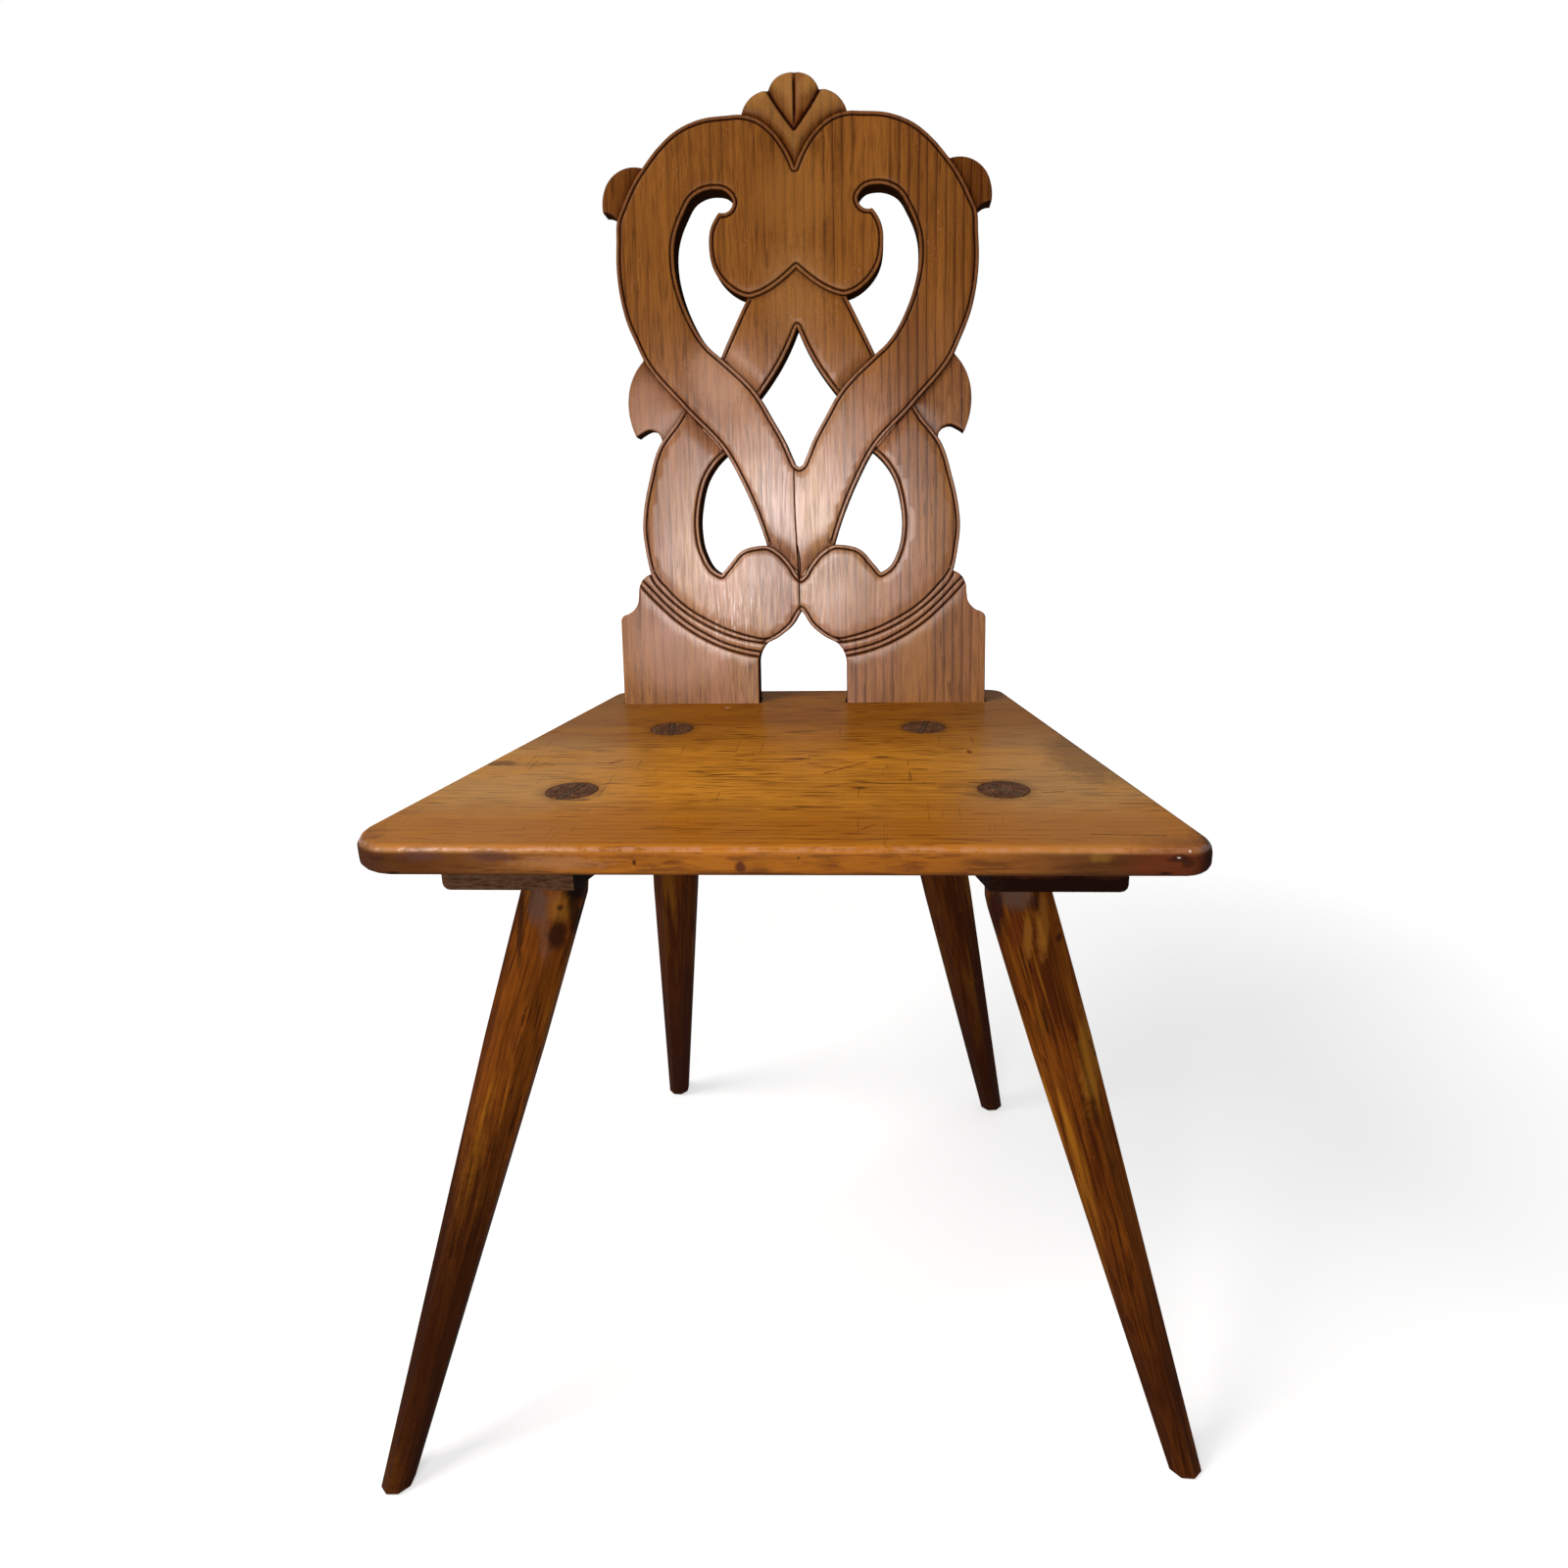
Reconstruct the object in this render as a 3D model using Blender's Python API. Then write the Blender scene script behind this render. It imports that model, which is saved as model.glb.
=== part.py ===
"""Carved board chair: a plank seat on four splayed legs, with a pierced and carved back board.

Metres, +Z up. The viewer's right is +X, the sitter faces -Y and the feet stand on Z = 0.
"""

import math
from typing import NamedTuple

import bmesh
import bpy
from mathutils import Matrix, Vector
from mathutils.geometry import interpolate_bezier

MM = 0.001
FIT_GAP = 0.0003
SAME_PLACE = 1e-6

# Seat plank
SEAT_HEIGHT = 0.440
SEAT_THICKNESS = 0.0172
SEAT_FRONT_WIDTH = 0.476
SEAT_REAR_WIDTH = 0.318
SEAT_DEPTH = 0.346
SEAT_FRONT_LEFT_CORNER = 0.026
SEAT_FRONT_RIGHT_CORNER = 0.015
SEAT_REAR_CORNER = 0.014
SEAT_CORNER_STEPS = 6
SEAT_TOP_ROUND = 0.0035
SEAT_BOTTOM_ROUND = 0.0025
SEAT_ROUND_STEPS = 3

# Feet of the back board, from its centre line
FOOT_OUTER = 0.1443
FOOT_INNER = 0.0351
FOOT_CENTRE = 0.5 * (FOOT_OUTER + FOOT_INNER)

# Dovetailed battens under the seat
BATTEN_SETBACK = 0.058
BATTEN_REAR_SETBACK = 0.010
BATTEN_FRONT_WIDTH = 0.080
BATTEN_REAR_WIDTH = 0.078
BATTEN_DEPTH = 0.0345
BATTEN_FRONT_INSET = 0.0747
BATTEN_FRONT_CENTRE = 0.5 * SEAT_FRONT_WIDTH - BATTEN_FRONT_INSET
BATTEN_REAR_INSET = 0.0107
BATTEN_REAR_CENTRE = FOOT_CENTRE - BATTEN_REAR_INSET
BATTEN_ROUND = 0.0045
BATTEN_ROUND_STEPS = 3
TONGUE_HEIGHT = 0.007
TONGUE_SHOULDER = 0.006
TONGUE_FLARE = 0.003

# Legs
TENON_RADIUS = 0.0155
TENON_ROOT = 0.006
TENON_SIDES = 24
LEG_TOP_WIDTH = 0.0392
LEG_KNEE_WIDTH = 0.0368
LEG_MIDDLE_WIDTH = 0.0307
LEG_ANKLE_WIDTH = 0.0233
LEG_FOOT_WIDTH = 0.0190
LEG_FOOT_CHAMFER = 0.002
LEG_SHAVE = TENON_RADIUS + FIT_GAP
LEG_SIDES = 8
# Share of the leg's length from the floor, and the width across the flats there
LEG_STATIONS = (
    (1.00, LEG_TOP_WIDTH),
    (0.84, 0.5 * (LEG_TOP_WIDTH + LEG_KNEE_WIDTH)),
    (0.74, LEG_KNEE_WIDTH),
    (0.51, LEG_MIDDLE_WIDTH),
    (0.185, LEG_ANKLE_WIDTH),
    (0.00, LEG_FOOT_WIDTH),
)

# Wedges driven into the leg tenons
WEDGE_TOP = 0.0032
WEDGE_TIP = 0.0010
WEDGE_DEPTH = 0.018
WEDGE_SIDE_MARGIN = 0.0012
KERF_REACH = 1.5 * TENON_RADIUS

# Back board
BACK_THICKNESS = 0.019
BACK_RECLINE = math.radians(6.9)
BACK_REAR_MARGIN = 0.044
BACK_CENTRE_X = -0.0016
HOUSING_DEPTH = 0.005
HOUSING_END_PLAY = 0.0012
BACK_TENON_WIDTH = 0.044
BACK_TENON_STAND_OUT = 0.026
RELIEF_DEPTH = 0.0025
DISH_DEPTH = 0.0022
DISH_LENGTH = 0.024
DISH_OVERRUN = 0.1
CURVE_SPACING = 0.0045

# Keys through the back's tenons
KEY_WIDTH = 0.012
KEY_HEAD_HEIGHT = 0.013
KEY_TIP_HEIGHT = 0.009
KEY_LENGTH = 0.056
KEY_DRAW = 0.002

BATTEN_BOTTOM = SEAT_HEIGHT - SEAT_THICKNESS - BATTEN_DEPTH
BACK_FACE_Y = SEAT_DEPTH - BACK_REAR_MARGIN


class LegPlace(NamedTuple):
    """Where one leg stands, and how its own shaping differs from the drawn leg.

    The tenon's centre on the seat lies from_end off the seat's front edge, or off its rear edge for
    a rear leg, and inset from the batten's centre line. lean leads from there to the shoulder's
    centre under the batten, and splay from the shoulder to the foot, both as (outwards, backwards).
    girth scales the drawn widths and wedge_turn is the wedge's angle from the Y axis in degrees.
    The front legs are planed upright on their inner side, just clear of the tenon.
    """

    side: int
    rear: bool
    from_end: float
    inset: float
    lean: tuple
    splay: tuple
    girth: float
    wedge_turn: float


LEGS = {
    "front_left": LegPlace(-1, False, 0.0904, 0.0245, (0.0096, -0.0112), (0.1153, -0.0861), 0.96, -16.0),
    "front_right": LegPlace(1, False, 0.0915, 0.0199, (0.0059, -0.0081), (0.1150, -0.0613), 1.02, 45.0),
    "rear_left": LegPlace(-1, True, 0.1178, 0.0201, (0.0050, 0.0216), (0.0493, 0.1690), 0.95, 8.0),
    "rear_right": LegPlace(1, True, 0.1161, 0.0214, (0.0031, 0.0194), (0.0741, 0.1509), 1.01, -12.0),
}

# Carved outline of the back's right half, from the seat up: millimetres from the centre line and
# above the seat, each tuple one smooth stroke that ends in a corner
SHOULDER = ((FOOT_OUTER / MM, 67), (142.6, 70.2), (138, 72.2), (133.5, 75.5), (130.6, 79.5), (129.4, 86),
            (128.6, 93), (125.3, 99.4), (119, 103.2))
RING_OUTER = ((119, 103.2), (122.4, 121), (124, 138), (122, 156), (117.8, 174), (106.8, 204))
LEAF_SCALLOP = ((106.8, 204), (109.3, 211), (116, 213.7), (122, 211.3), (126.5, 208.3))
LEAF_OUTER = ((126.5, 208.3), (130.3, 219), (131.9, 233), (129.5, 248), (118.5, 265.7))
HEART_OUTER = ((118.5, 265.7), (123.8, 277.5), (130, 292.5), (134.4, 311), (136.3, 331), (135.6, 351),
               (134.4, 366))
EAR_SCALLOP = ((134.4, 366), (139, 371.2), (145.3, 372.6))
EAR_OUTER = ((145.3, 372.6), (145.3, 382), (140, 395), (129.7, 402.5), (113.5, 403))
HEART_TOP = ((113.5, 403), (103, 415.2), (88, 427.4), (69, 434.8), (50, 436.6), (39.3, 436.9))
CREST_SIDE = ((39.3, 436.9), (36, 444), (28.5, 450.6), (18.6, 452.4))
CREST_TOP = ((18.6, 452.4), (13.4, 460.5), (5.3, 464.3), (0, 464.8))
ARCH = ((FOOT_INNER / MM, 30), (34.4, 37), (29.5, 46), (18, 52.7), (6.6, 62.7), (0, 73.6))

# Openings, right half or right-hand one
SCROLL_OPENING = (
    ((37.5, 308.8), (40.5, 309.6), (53.5, 317.5), (62.5, 330), (65.4, 345), (64.2, 358), (57.2, 369.8)),
    ((57.2, 369.8), (50, 370.6), (46.7, 376), (51, 383.3), (61, 385.8), (75.5, 381.2), (84, 368.8),
     (90.9, 350.6), (91.8, 333), (88.5, 314.5), (82, 296.5), (72.9, 280), (63, 269.4), (59, 267.5)),
    ((59, 267.5), (37.5, 308.8)),
)
DIAMOND_UPPER = ((0, 286.4), (2.7, 280), (10.7, 264), (22, 246.9), (30, 236.8))
DIAMOND_LOWER = ((30, 236.8), (21, 221.5), (10, 203), (3, 187), (0, 181.9))
DROP_OPENING = (
    ((26.5, 124.2), (33.5, 124), (46, 120.6), (56.5, 109.7), (62.6, 102.4)),
    ((62.6, 102.4), (67.7, 105.2), (76, 118.8), (79.3, 137.5), (77.7, 157), (71.5, 177), (56.6, 194.5)),
    ((56.6, 194.5), (45, 172.8), (34.7, 149), (26.5, 124.2)),
)

# Edges of the straps that lie on top, where the lower work stops against them
EAR_EDGE = ((136.2, 361.5), (131.9, 372), (124.2, 387), (112.2, 404.8))
EAR_FIELD = ((125, 418), (158, 408), (158, 358))
LEAF_EDGE_HEART = ((120.1, 267.6), (88.5, 229.3))
LEAF_EDGE_RING = ((88.5, 229.3), (95, 218.5), (101.3, 211), (108.2, 202.5))
LEAF_FIELD = ((125, 195), (150, 200), (150, 262), (126, 273))
CREST_EDGE = ((0, 399.7), (5.5, 411.5), (15, 424.5), (27.5, 433.8), (41.5, 437.4))
CREST_FIELD = ((60, 482),)
SPADE_EDGE = ((0, 329.2), (8.5, 322), (20.5, 314), (28, 310.6), (40, 308.2))
LOBE_EDGE = ((0, 99.5), (6, 107.6), (16.3, 118.6), (28, 124.4))
HEART_LINE = ((54.8, 191.9), (90.1, 231.3))
HEART_INNER_LINE = ((60.4, 269.0), (28.6, 235.3))
SPADE_DISH_FOOT = 286.0
SPADE_DISH_TOP = 322.0
LOBE_DISH_HEAD = 150.0
LOBE_DISH_FOOT = 110.0
DISH_HALF_WIDTH = 45.0


def clear_scene() -> None:
    """Remove every object that the scene holds."""
    for obj in list(bpy.data.objects):
        bpy.data.objects.remove(obj, do_unlink=True)


def wood(name: str, colour: tuple, roughness: float) -> bpy.types.Material:
    """Make a plain wood material with the piece's colour."""
    material = bpy.data.materials.new(name)
    material.use_nodes = True
    shader = material.node_tree.nodes["Principled BSDF"]
    shader.inputs["Base Color"].default_value = (*colour, 1.0)
    shader.inputs["Roughness"].default_value = roughness
    shader.inputs["Metallic"].default_value = 0.0
    return material


def object_from(name: str, mesh: bmesh.types.BMesh, material=None) -> bpy.types.Object:
    """Turn a bmesh into a named object and free the bmesh."""
    bmesh.ops.recalc_face_normals(mesh, faces=mesh.faces)
    data = bpy.data.meshes.new(name)
    mesh.to_mesh(data)
    mesh.free()
    if material is not None:
        data.materials.append(material)
    obj = bpy.data.objects.new(name, data)
    bpy.context.scene.collection.objects.link(obj)
    return obj


def as_cutter(obj: bpy.types.Object) -> bpy.types.Object:
    """Mark an object as a shape that only cuts or joins others."""
    obj.hide_render = True
    obj.display_type = "WIRE"
    return obj


def boolean(target: bpy.types.Object, tool: bpy.types.Object, operation: str) -> None:
    """Cut or join the target with the tool through an exact Boolean modifier."""
    modifier = target.modifiers.new(tool.name, "BOOLEAN")
    modifier.operation = operation
    modifier.solver = "EXACT"
    modifier.object = as_cutter(tool)


def tangents_of(knots: list) -> list:
    """Return the direction of travel at each knot, as the circle through its neighbours has it."""
    chords = [after - before for before, after in zip(knots, knots[1:])]
    directions = []
    for before, after in zip(chords, chords[1:]):
        blend = before.normalized() * after.length + after.normalized() * before.length
        directions.append(blend.normalized())
    first = directions[0].reflect(chords[0].orthogonal().normalized())
    last = directions[-1].reflect(chords[-1].orthogonal().normalized())
    return [first, *directions, last]


def curve_through(points: tuple) -> list:
    """Return points along a smooth curve through the given ones, with both ends kept."""
    knots = [Vector(point) * MM for point in points]
    if len(knots) == 2:
        return knots
    curve = [knots[0]]
    directions = tangents_of(knots)
    for start, end, leaving, arriving in zip(knots, knots[1:], directions, directions[1:]):
        span = (end - start).length
        steps = max(1, round(span / CURVE_SPACING))
        reach = span / 3.0
        stretch = interpolate_bezier(start, start + leaving * reach, end - arriving * reach, end, steps + 1)
        curve.extend(stretch[1:])
    return curve


def joined(*strokes: tuple) -> list:
    """Join smooth strokes end to end, keeping one copy of each shared corner."""
    outline = []
    for stroke in strokes:
        curve = curve_through(stroke)
        start = 1 if outline and (outline[-1] - curve[0]).length < SAME_PLACE else 0
        outline.extend(curve[start:])
    return outline


def mirrored(points: list) -> list:
    """Return the points reflected about the centre line, in reverse order."""
    return [Vector((-point.x, point.y)) for point in reversed(points)]


def both_halves(half: list) -> list:
    """Close a right half that starts and ends on the centre line with its mirror image."""
    return half + mirrored(half)[1:-1]


def both_halves_open(half: list) -> list:
    """Close a right half that starts on the centre line but ends off it."""
    return half + mirrored(half)[:-1]


def loft(mesh: bmesh.types.BMesh, rings: list) -> None:
    """Join equal rings of vertices with side faces and close both ends."""
    mesh.faces.new(rings[0])
    mesh.faces.new(rings[-1][::-1])
    count = len(rings[0])
    for near, far in zip(rings, rings[1:]):
        for index in range(count):
            following = (index + 1) % count
            mesh.faces.new((near[index], far[index], far[following], near[following]))


def slab(mesh: bmesh.types.BMesh, outline: list, front, back) -> None:
    """Add a slab in the board's plane to the mesh; front and back give its depth at a point."""
    near = [mesh.verts.new((point.x, front(point), point.y)) for point in outline]
    far = [mesh.verts.new((point.x, back(point), point.y)) for point in outline]
    loft(mesh, [near, far])


def level(depth: float):
    """Return a depth function that is the same everywhere."""
    return lambda point: depth


def lay_in_board_plane(obj: bpy.types.Object) -> None:
    """Place an object drawn in the board's own plane where the reclined board stands."""
    obj.location = (BACK_CENTRE_X, BACK_FACE_Y, SEAT_HEIGHT)
    obj.rotation_euler = (-BACK_RECLINE, 0.0, 0.0)


def board_drop(height: float) -> float:
    """Return how far down the board's plane a height below the seat lies."""
    return -height / math.cos(BACK_RECLINE)


def back_outline() -> list:
    """Return the back board's whole outline, tenons included."""
    shoulder_level = board_drop(HOUSING_DEPTH - FIT_GAP)
    tenon_end = board_drop(SEAT_THICKNESS + BATTEN_DEPTH + BACK_TENON_STAND_OUT)
    tenon_outer = FOOT_CENTRE + 0.5 * BACK_TENON_WIDTH
    tenon_inner = FOOT_CENTRE - 0.5 * BACK_TENON_WIDTH
    arch = curve_through(ARCH)[::-1]
    foot = [
        Vector((FOOT_INNER, shoulder_level)),
        Vector((tenon_inner, shoulder_level)),
        Vector((tenon_inner, tenon_end)),
        Vector((tenon_outer, tenon_end)),
        Vector((tenon_outer, shoulder_level)),
        Vector((FOOT_OUTER, shoulder_level)),
    ]
    upper = joined(SHOULDER, RING_OUTER, LEAF_SCALLOP, LEAF_OUTER, HEART_OUTER, EAR_SCALLOP, EAR_OUTER,
                   HEART_TOP, CREST_SIDE, CREST_TOP)
    return both_halves(arch + foot + upper)


def dish(line: tuple, mesh: bmesh.types.BMesh) -> None:
    """Add the wedge that slopes a strap down to the edge of the strap lying over it."""
    start = Vector(line[0]) * MM
    end = Vector(line[1]) * MM
    along = (end - start).normalized()
    normal = Vector((along.y, -along.x))
    reach = (1.0 + DISH_OVERRUN) * DISH_LENGTH
    corners = [start, end, end + normal * reach, start + normal * reach]

    def floor(point: Vector) -> float:
        on_the_right = Vector((abs(point.x), point.y))
        return DISH_DEPTH * (1.0 - (on_the_right - start).dot(normal) / DISH_LENGTH)

    slab(mesh, corners, level(-BACK_THICKNESS), floor)
    slab(mesh, mirrored(corners), level(-BACK_THICKNESS), floor)


def centre_dish(edge: tuple, zero: float, deepest: float, mesh: bmesh.types.BMesh) -> None:
    """Add the wedge under a lobed edge, fading out at the height called zero."""
    half = curve_through(edge)
    fade = (zero - (deepest - zero) * DISH_OVERRUN) * MM
    side = DISH_HALF_WIDTH * MM
    outline = both_halves_open(half + [Vector((side, half[-1].y)), Vector((side, fade))])

    def floor(point: Vector) -> float:
        return DISH_DEPTH * (point.y - zero * MM) / ((deepest - zero) * MM)

    slab(mesh, outline, level(-BACK_THICKNESS), floor)


def back_board(material: bpy.types.Material) -> bpy.types.Object:
    """Build the pierced board with its relief and its two through tenons."""
    mesh = bmesh.new()
    slab(mesh, back_outline(), level(0.0), level(BACK_THICKNESS))
    board = object_from("back_board", mesh, material)

    piercing = bmesh.new()
    through = (level(-BACK_THICKNESS), level(2 * BACK_THICKNESS))
    for strokes in (SCROLL_OPENING, DROP_OPENING):
        right = joined(*strokes)[:-1]
        slab(piercing, right, *through)
        slab(piercing, mirrored(right), *through)
    slab(piercing, both_halves(joined(DIAMOND_UPPER, DIAMOND_LOWER)), *through)
    openings = object_from("back_openings", piercing)

    fields = bmesh.new()
    ground = (level(-BACK_THICKNESS), level(RELIEF_DEPTH))
    ear = joined(EAR_EDGE) + [Vector(point) * MM for point in EAR_FIELD]
    leaf = joined(LEAF_EDGE_HEART, LEAF_EDGE_RING) + [Vector(point) * MM for point in LEAF_FIELD]
    for outline in (ear, leaf):
        slab(fields, outline, *ground)
        slab(fields, mirrored(outline), *ground)
    crest = joined(CREST_EDGE) + [Vector(point) * MM for point in CREST_FIELD]
    slab(fields, both_halves_open(crest), *ground)
    grounds = object_from("back_grounds", fields)

    wedges = bmesh.new()
    dish(HEART_LINE, wedges)
    dish(HEART_INNER_LINE, wedges)
    centre_dish(SPADE_EDGE, SPADE_DISH_FOOT, SPADE_DISH_TOP, wedges)
    centre_dish(LOBE_EDGE, LOBE_DISH_HEAD, LOBE_DISH_FOOT, wedges)
    dishes = object_from("back_dishes", wedges)

    for piece in (board, openings, grounds, dishes):
        lay_in_board_plane(piece)
    for tool in (openings, grounds, dishes):
        boolean(board, tool, "DIFFERENCE")
    return board


def foot_cutter(side: int) -> bpy.types.Object:
    """Return the cutter for a foot's shallow housing and the through mortise below it."""
    centre = side * FOOT_CENTRE
    housing_half = 0.5 * (FOOT_OUTER - FOOT_INNER) + HOUSING_END_PLAY
    mortise_half = 0.5 * BACK_TENON_WIDTH + FIT_GAP
    bottom = board_drop(SEAT_THICKNESS + BATTEN_DEPTH + BACK_TENON_STAND_OUT)
    step = board_drop(HOUSING_DEPTH)
    top = board_drop(-SEAT_THICKNESS)
    outline = [
        Vector((centre - mortise_half, bottom)),
        Vector((centre + mortise_half, bottom)),
        Vector((centre + mortise_half, step)),
        Vector((centre + housing_half, step)),
        Vector((centre + housing_half, top)),
        Vector((centre - housing_half, top)),
        Vector((centre - housing_half, step)),
        Vector((centre - mortise_half, step)),
    ]
    mesh = bmesh.new()
    slab(mesh, outline, level(-FIT_GAP), level(BACK_THICKNESS + FIT_GAP))
    cutter = object_from(f"back_mortise_{side}", mesh)
    lay_in_board_plane(cutter)
    return cutter


def rounded_corner(corner: Vector, before: Vector, after: Vector, radius: float, steps: int) -> list:
    """Return points of an arc that rounds one corner of a plan outline."""
    inward = (before - corner).normalized()
    outward = (after - corner).normalized()
    half_angle = 0.5 * inward.angle(outward)
    reach = radius / math.tan(half_angle)
    centre = corner + (inward + outward).normalized() * (radius / math.sin(half_angle))
    start = corner + inward * reach - centre
    turn = -start.angle_signed(corner + outward * reach - centre)
    arc = []
    for step in range(steps + 1):
        point = start.copy()
        point.rotate(Matrix.Rotation(turn * step / steps, 2))
        arc.append(centre + point)
    return arc


def edges_at_height(mesh: bmesh.types.BMesh, height: float) -> list:
    """Return the mesh's edges that lie level at the given height."""
    return [edge for edge in mesh.edges
            if all(abs(vert.co.z - height) < SAME_PLACE for vert in edge.verts)]


def seat_board(material: bpy.types.Material) -> bpy.types.Object:
    """Build the trapezoid plank with rounded corners and arrises."""
    corners = [
        Vector((-0.5 * SEAT_FRONT_WIDTH, 0.0)),
        Vector((0.5 * SEAT_FRONT_WIDTH, 0.0)),
        Vector((0.5 * SEAT_REAR_WIDTH, SEAT_DEPTH)),
        Vector((-0.5 * SEAT_REAR_WIDTH, SEAT_DEPTH)),
    ]
    radii = (SEAT_FRONT_LEFT_CORNER, SEAT_FRONT_RIGHT_CORNER, SEAT_REAR_CORNER, SEAT_REAR_CORNER)
    outline = []
    for index, (corner, radius) in enumerate(zip(corners, radii)):
        before = corners[index - 1]
        after = corners[(index + 1) % len(corners)]
        outline.extend(rounded_corner(corner, before, after, radius, SEAT_CORNER_STEPS))
    mesh = bmesh.new()
    bottom = SEAT_HEIGHT - SEAT_THICKNESS
    lower = mesh.faces.new([mesh.verts.new((point.x, point.y, bottom)) for point in outline])
    lifted = bmesh.ops.extrude_face_region(mesh, geom=[lower])
    raised = [item for item in lifted["geom"] if isinstance(item, bmesh.types.BMVert)]
    bmesh.ops.translate(mesh, verts=raised, vec=(0.0, 0.0, SEAT_THICKNESS))
    for height, radius in ((SEAT_HEIGHT, SEAT_TOP_ROUND), (bottom, SEAT_BOTTOM_ROUND)):
        rim = edges_at_height(mesh, height)
        bmesh.ops.bevel(mesh, geom=rim, offset=radius, segments=SEAT_ROUND_STEPS, profile=0.5,
                        affect="EDGES")
    return object_from("seat_board", mesh, material)


def tongue_section(width: float, clearance: float) -> list:
    """Return the dovetailed tongue: x from the batten's centre line outwards, and height."""
    seat_bottom = SEAT_HEIGHT - SEAT_THICKNESS
    neck = 0.5 * width - TONGUE_SHOULDER + clearance
    head = neck + TONGUE_FLARE
    top = seat_bottom + TONGUE_HEIGHT - FIT_GAP + clearance
    return [(neck, seat_bottom - FIT_GAP), (head, top), (-head, top), (-neck, seat_bottom - FIT_GAP)]


def groove_section(width: float) -> list:
    """Return the section that cuts the tongue's groove, open below the seat."""
    tongue = tongue_section(width, FIT_GAP)
    return [*tongue, (tongue[-1][0], BATTEN_BOTTOM), (tongue[0][0], BATTEN_BOTTOM)]


def batten_section(width: float) -> list:
    """Return the batten's section with its tongue; only the outer lower corner is rounded."""
    half = 0.5 * width
    under = SEAT_HEIGHT - SEAT_THICKNESS - FIT_GAP
    rounding = []
    for step in range(BATTEN_ROUND_STEPS + 1):
        turn = 0.5 * math.pi * step / BATTEN_ROUND_STEPS
        x = half - BATTEN_ROUND * (1.0 - math.sin(turn))
        rounding.append((x, BATTEN_BOTTOM + BATTEN_ROUND * (1.0 - math.cos(turn))))
    return [(-half, BATTEN_BOTTOM), *rounding, (half, under), *tongue_section(width, 0.0), (-half, under)]


def batten_centre(side: int, depth: float) -> float:
    """Return the batten's centre line at a distance from the seat's front edge."""
    share = (depth - BATTEN_SETBACK) / (SEAT_DEPTH - BATTEN_SETBACK)
    return side * (BATTEN_FRONT_CENTRE + share * (BATTEN_REAR_CENTRE - BATTEN_FRONT_CENTRE))


def batten_width(depth: float) -> float:
    """Return the batten's width at a distance from the seat's front edge."""
    share = (depth - BATTEN_SETBACK) / (SEAT_DEPTH - BATTEN_SETBACK)
    return BATTEN_FRONT_WIDTH + share * (BATTEN_REAR_WIDTH - BATTEN_FRONT_WIDTH)


def under_seat_bar(name: str, side: int, section, front: float, rear: float,
                   material=None) -> bpy.types.Object:
    """Loft a section that grows with the batten's width along the batten's centre line."""
    mesh = bmesh.new()
    ends = []
    for depth in (front, rear):
        centre = batten_centre(side, depth)
        points = section(batten_width(depth))
        ends.append([mesh.verts.new((centre + side * x, depth, z)) for x, z in points])
    loft(mesh, ends)
    return object_from(name, mesh, material)


def tenon_line(place: LegPlace) -> tuple:
    """Return the ends of a leg's tenon: its centre under the batten and on the seat's top."""
    y = SEAT_DEPTH - place.from_end if place.rear else place.from_end
    x = batten_centre(place.side, y) - place.side * place.inset
    outwards, backwards = place.lean
    shoulder = Vector((x + place.side * outwards, y + backwards, BATTEN_BOTTOM))
    return shoulder, Vector((x, y, SEAT_HEIGHT))


def tenon_bar(name: str, place: LegPlace, radius: float) -> bpy.types.Object:
    """Make a round bar along a leg's tenon, rooted in the leg and standing over the seat."""
    low, high = tenon_line(place)
    direction = (high - low).normalized()
    low -= direction * TENON_ROOT
    high += direction * TENON_RADIUS
    axis = high - low
    turn = Vector((0.0, 0.0, 1.0)).rotation_difference(axis).to_matrix().to_4x4()
    middle = Matrix.Translation(0.5 * (low + high))
    mesh = bmesh.new()
    bmesh.ops.create_cone(mesh, cap_ends=True, segments=TENON_SIDES, radius1=radius, radius2=radius,
                          depth=axis.length, matrix=middle @ turn)
    return object_from(name, mesh)


def wedge_prism(name: str, place: LegPlace, clearance: float, over: float,
                material=None) -> bpy.types.Object:
    """Make a leg's wedge, or with a clearance the kerf that takes it."""
    low, high = tenon_line(place)
    angle = math.radians(place.wedge_turn)
    reach = TENON_RADIUS - WEDGE_SIDE_MARGIN if clearance == 0.0 else KERF_REACH
    lean = (high - low) / (high.z - low.z)
    across = Vector((math.cos(angle), math.sin(angle), 0.0))
    run = Vector((-math.sin(angle), math.cos(angle), 0.0))
    mesh = bmesh.new()
    rings = []
    for drop in (-over, WEDGE_DEPTH + clearance):
        centre = high - lean * drop
        half = 0.5 * (WEDGE_TOP + (WEDGE_TIP - WEDGE_TOP) * drop / WEDGE_DEPTH) + clearance
        corners = ((-half, -reach), (half, -reach), (half, reach), (-half, reach))
        rings.append([mesh.verts.new(centre + across * x + run * y) for x, y in corners])
    loft(mesh, rings)
    return object_from(name, mesh, material)


def trim(mesh: bmesh.types.BMesh, point: Vector, outward: Vector) -> None:
    """Cut the mesh with a plane, drop what lies outward of it and close the cut."""
    geometry = list(mesh.verts) + list(mesh.edges) + list(mesh.faces)
    cut = bmesh.ops.bisect_plane(mesh, geom=geometry, plane_co=point, plane_no=outward, clear_outer=True)
    edges = [item for item in cut["geom_cut"] if isinstance(item, bmesh.types.BMEdge)]
    bmesh.ops.holes_fill(mesh, edges=edges)


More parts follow.
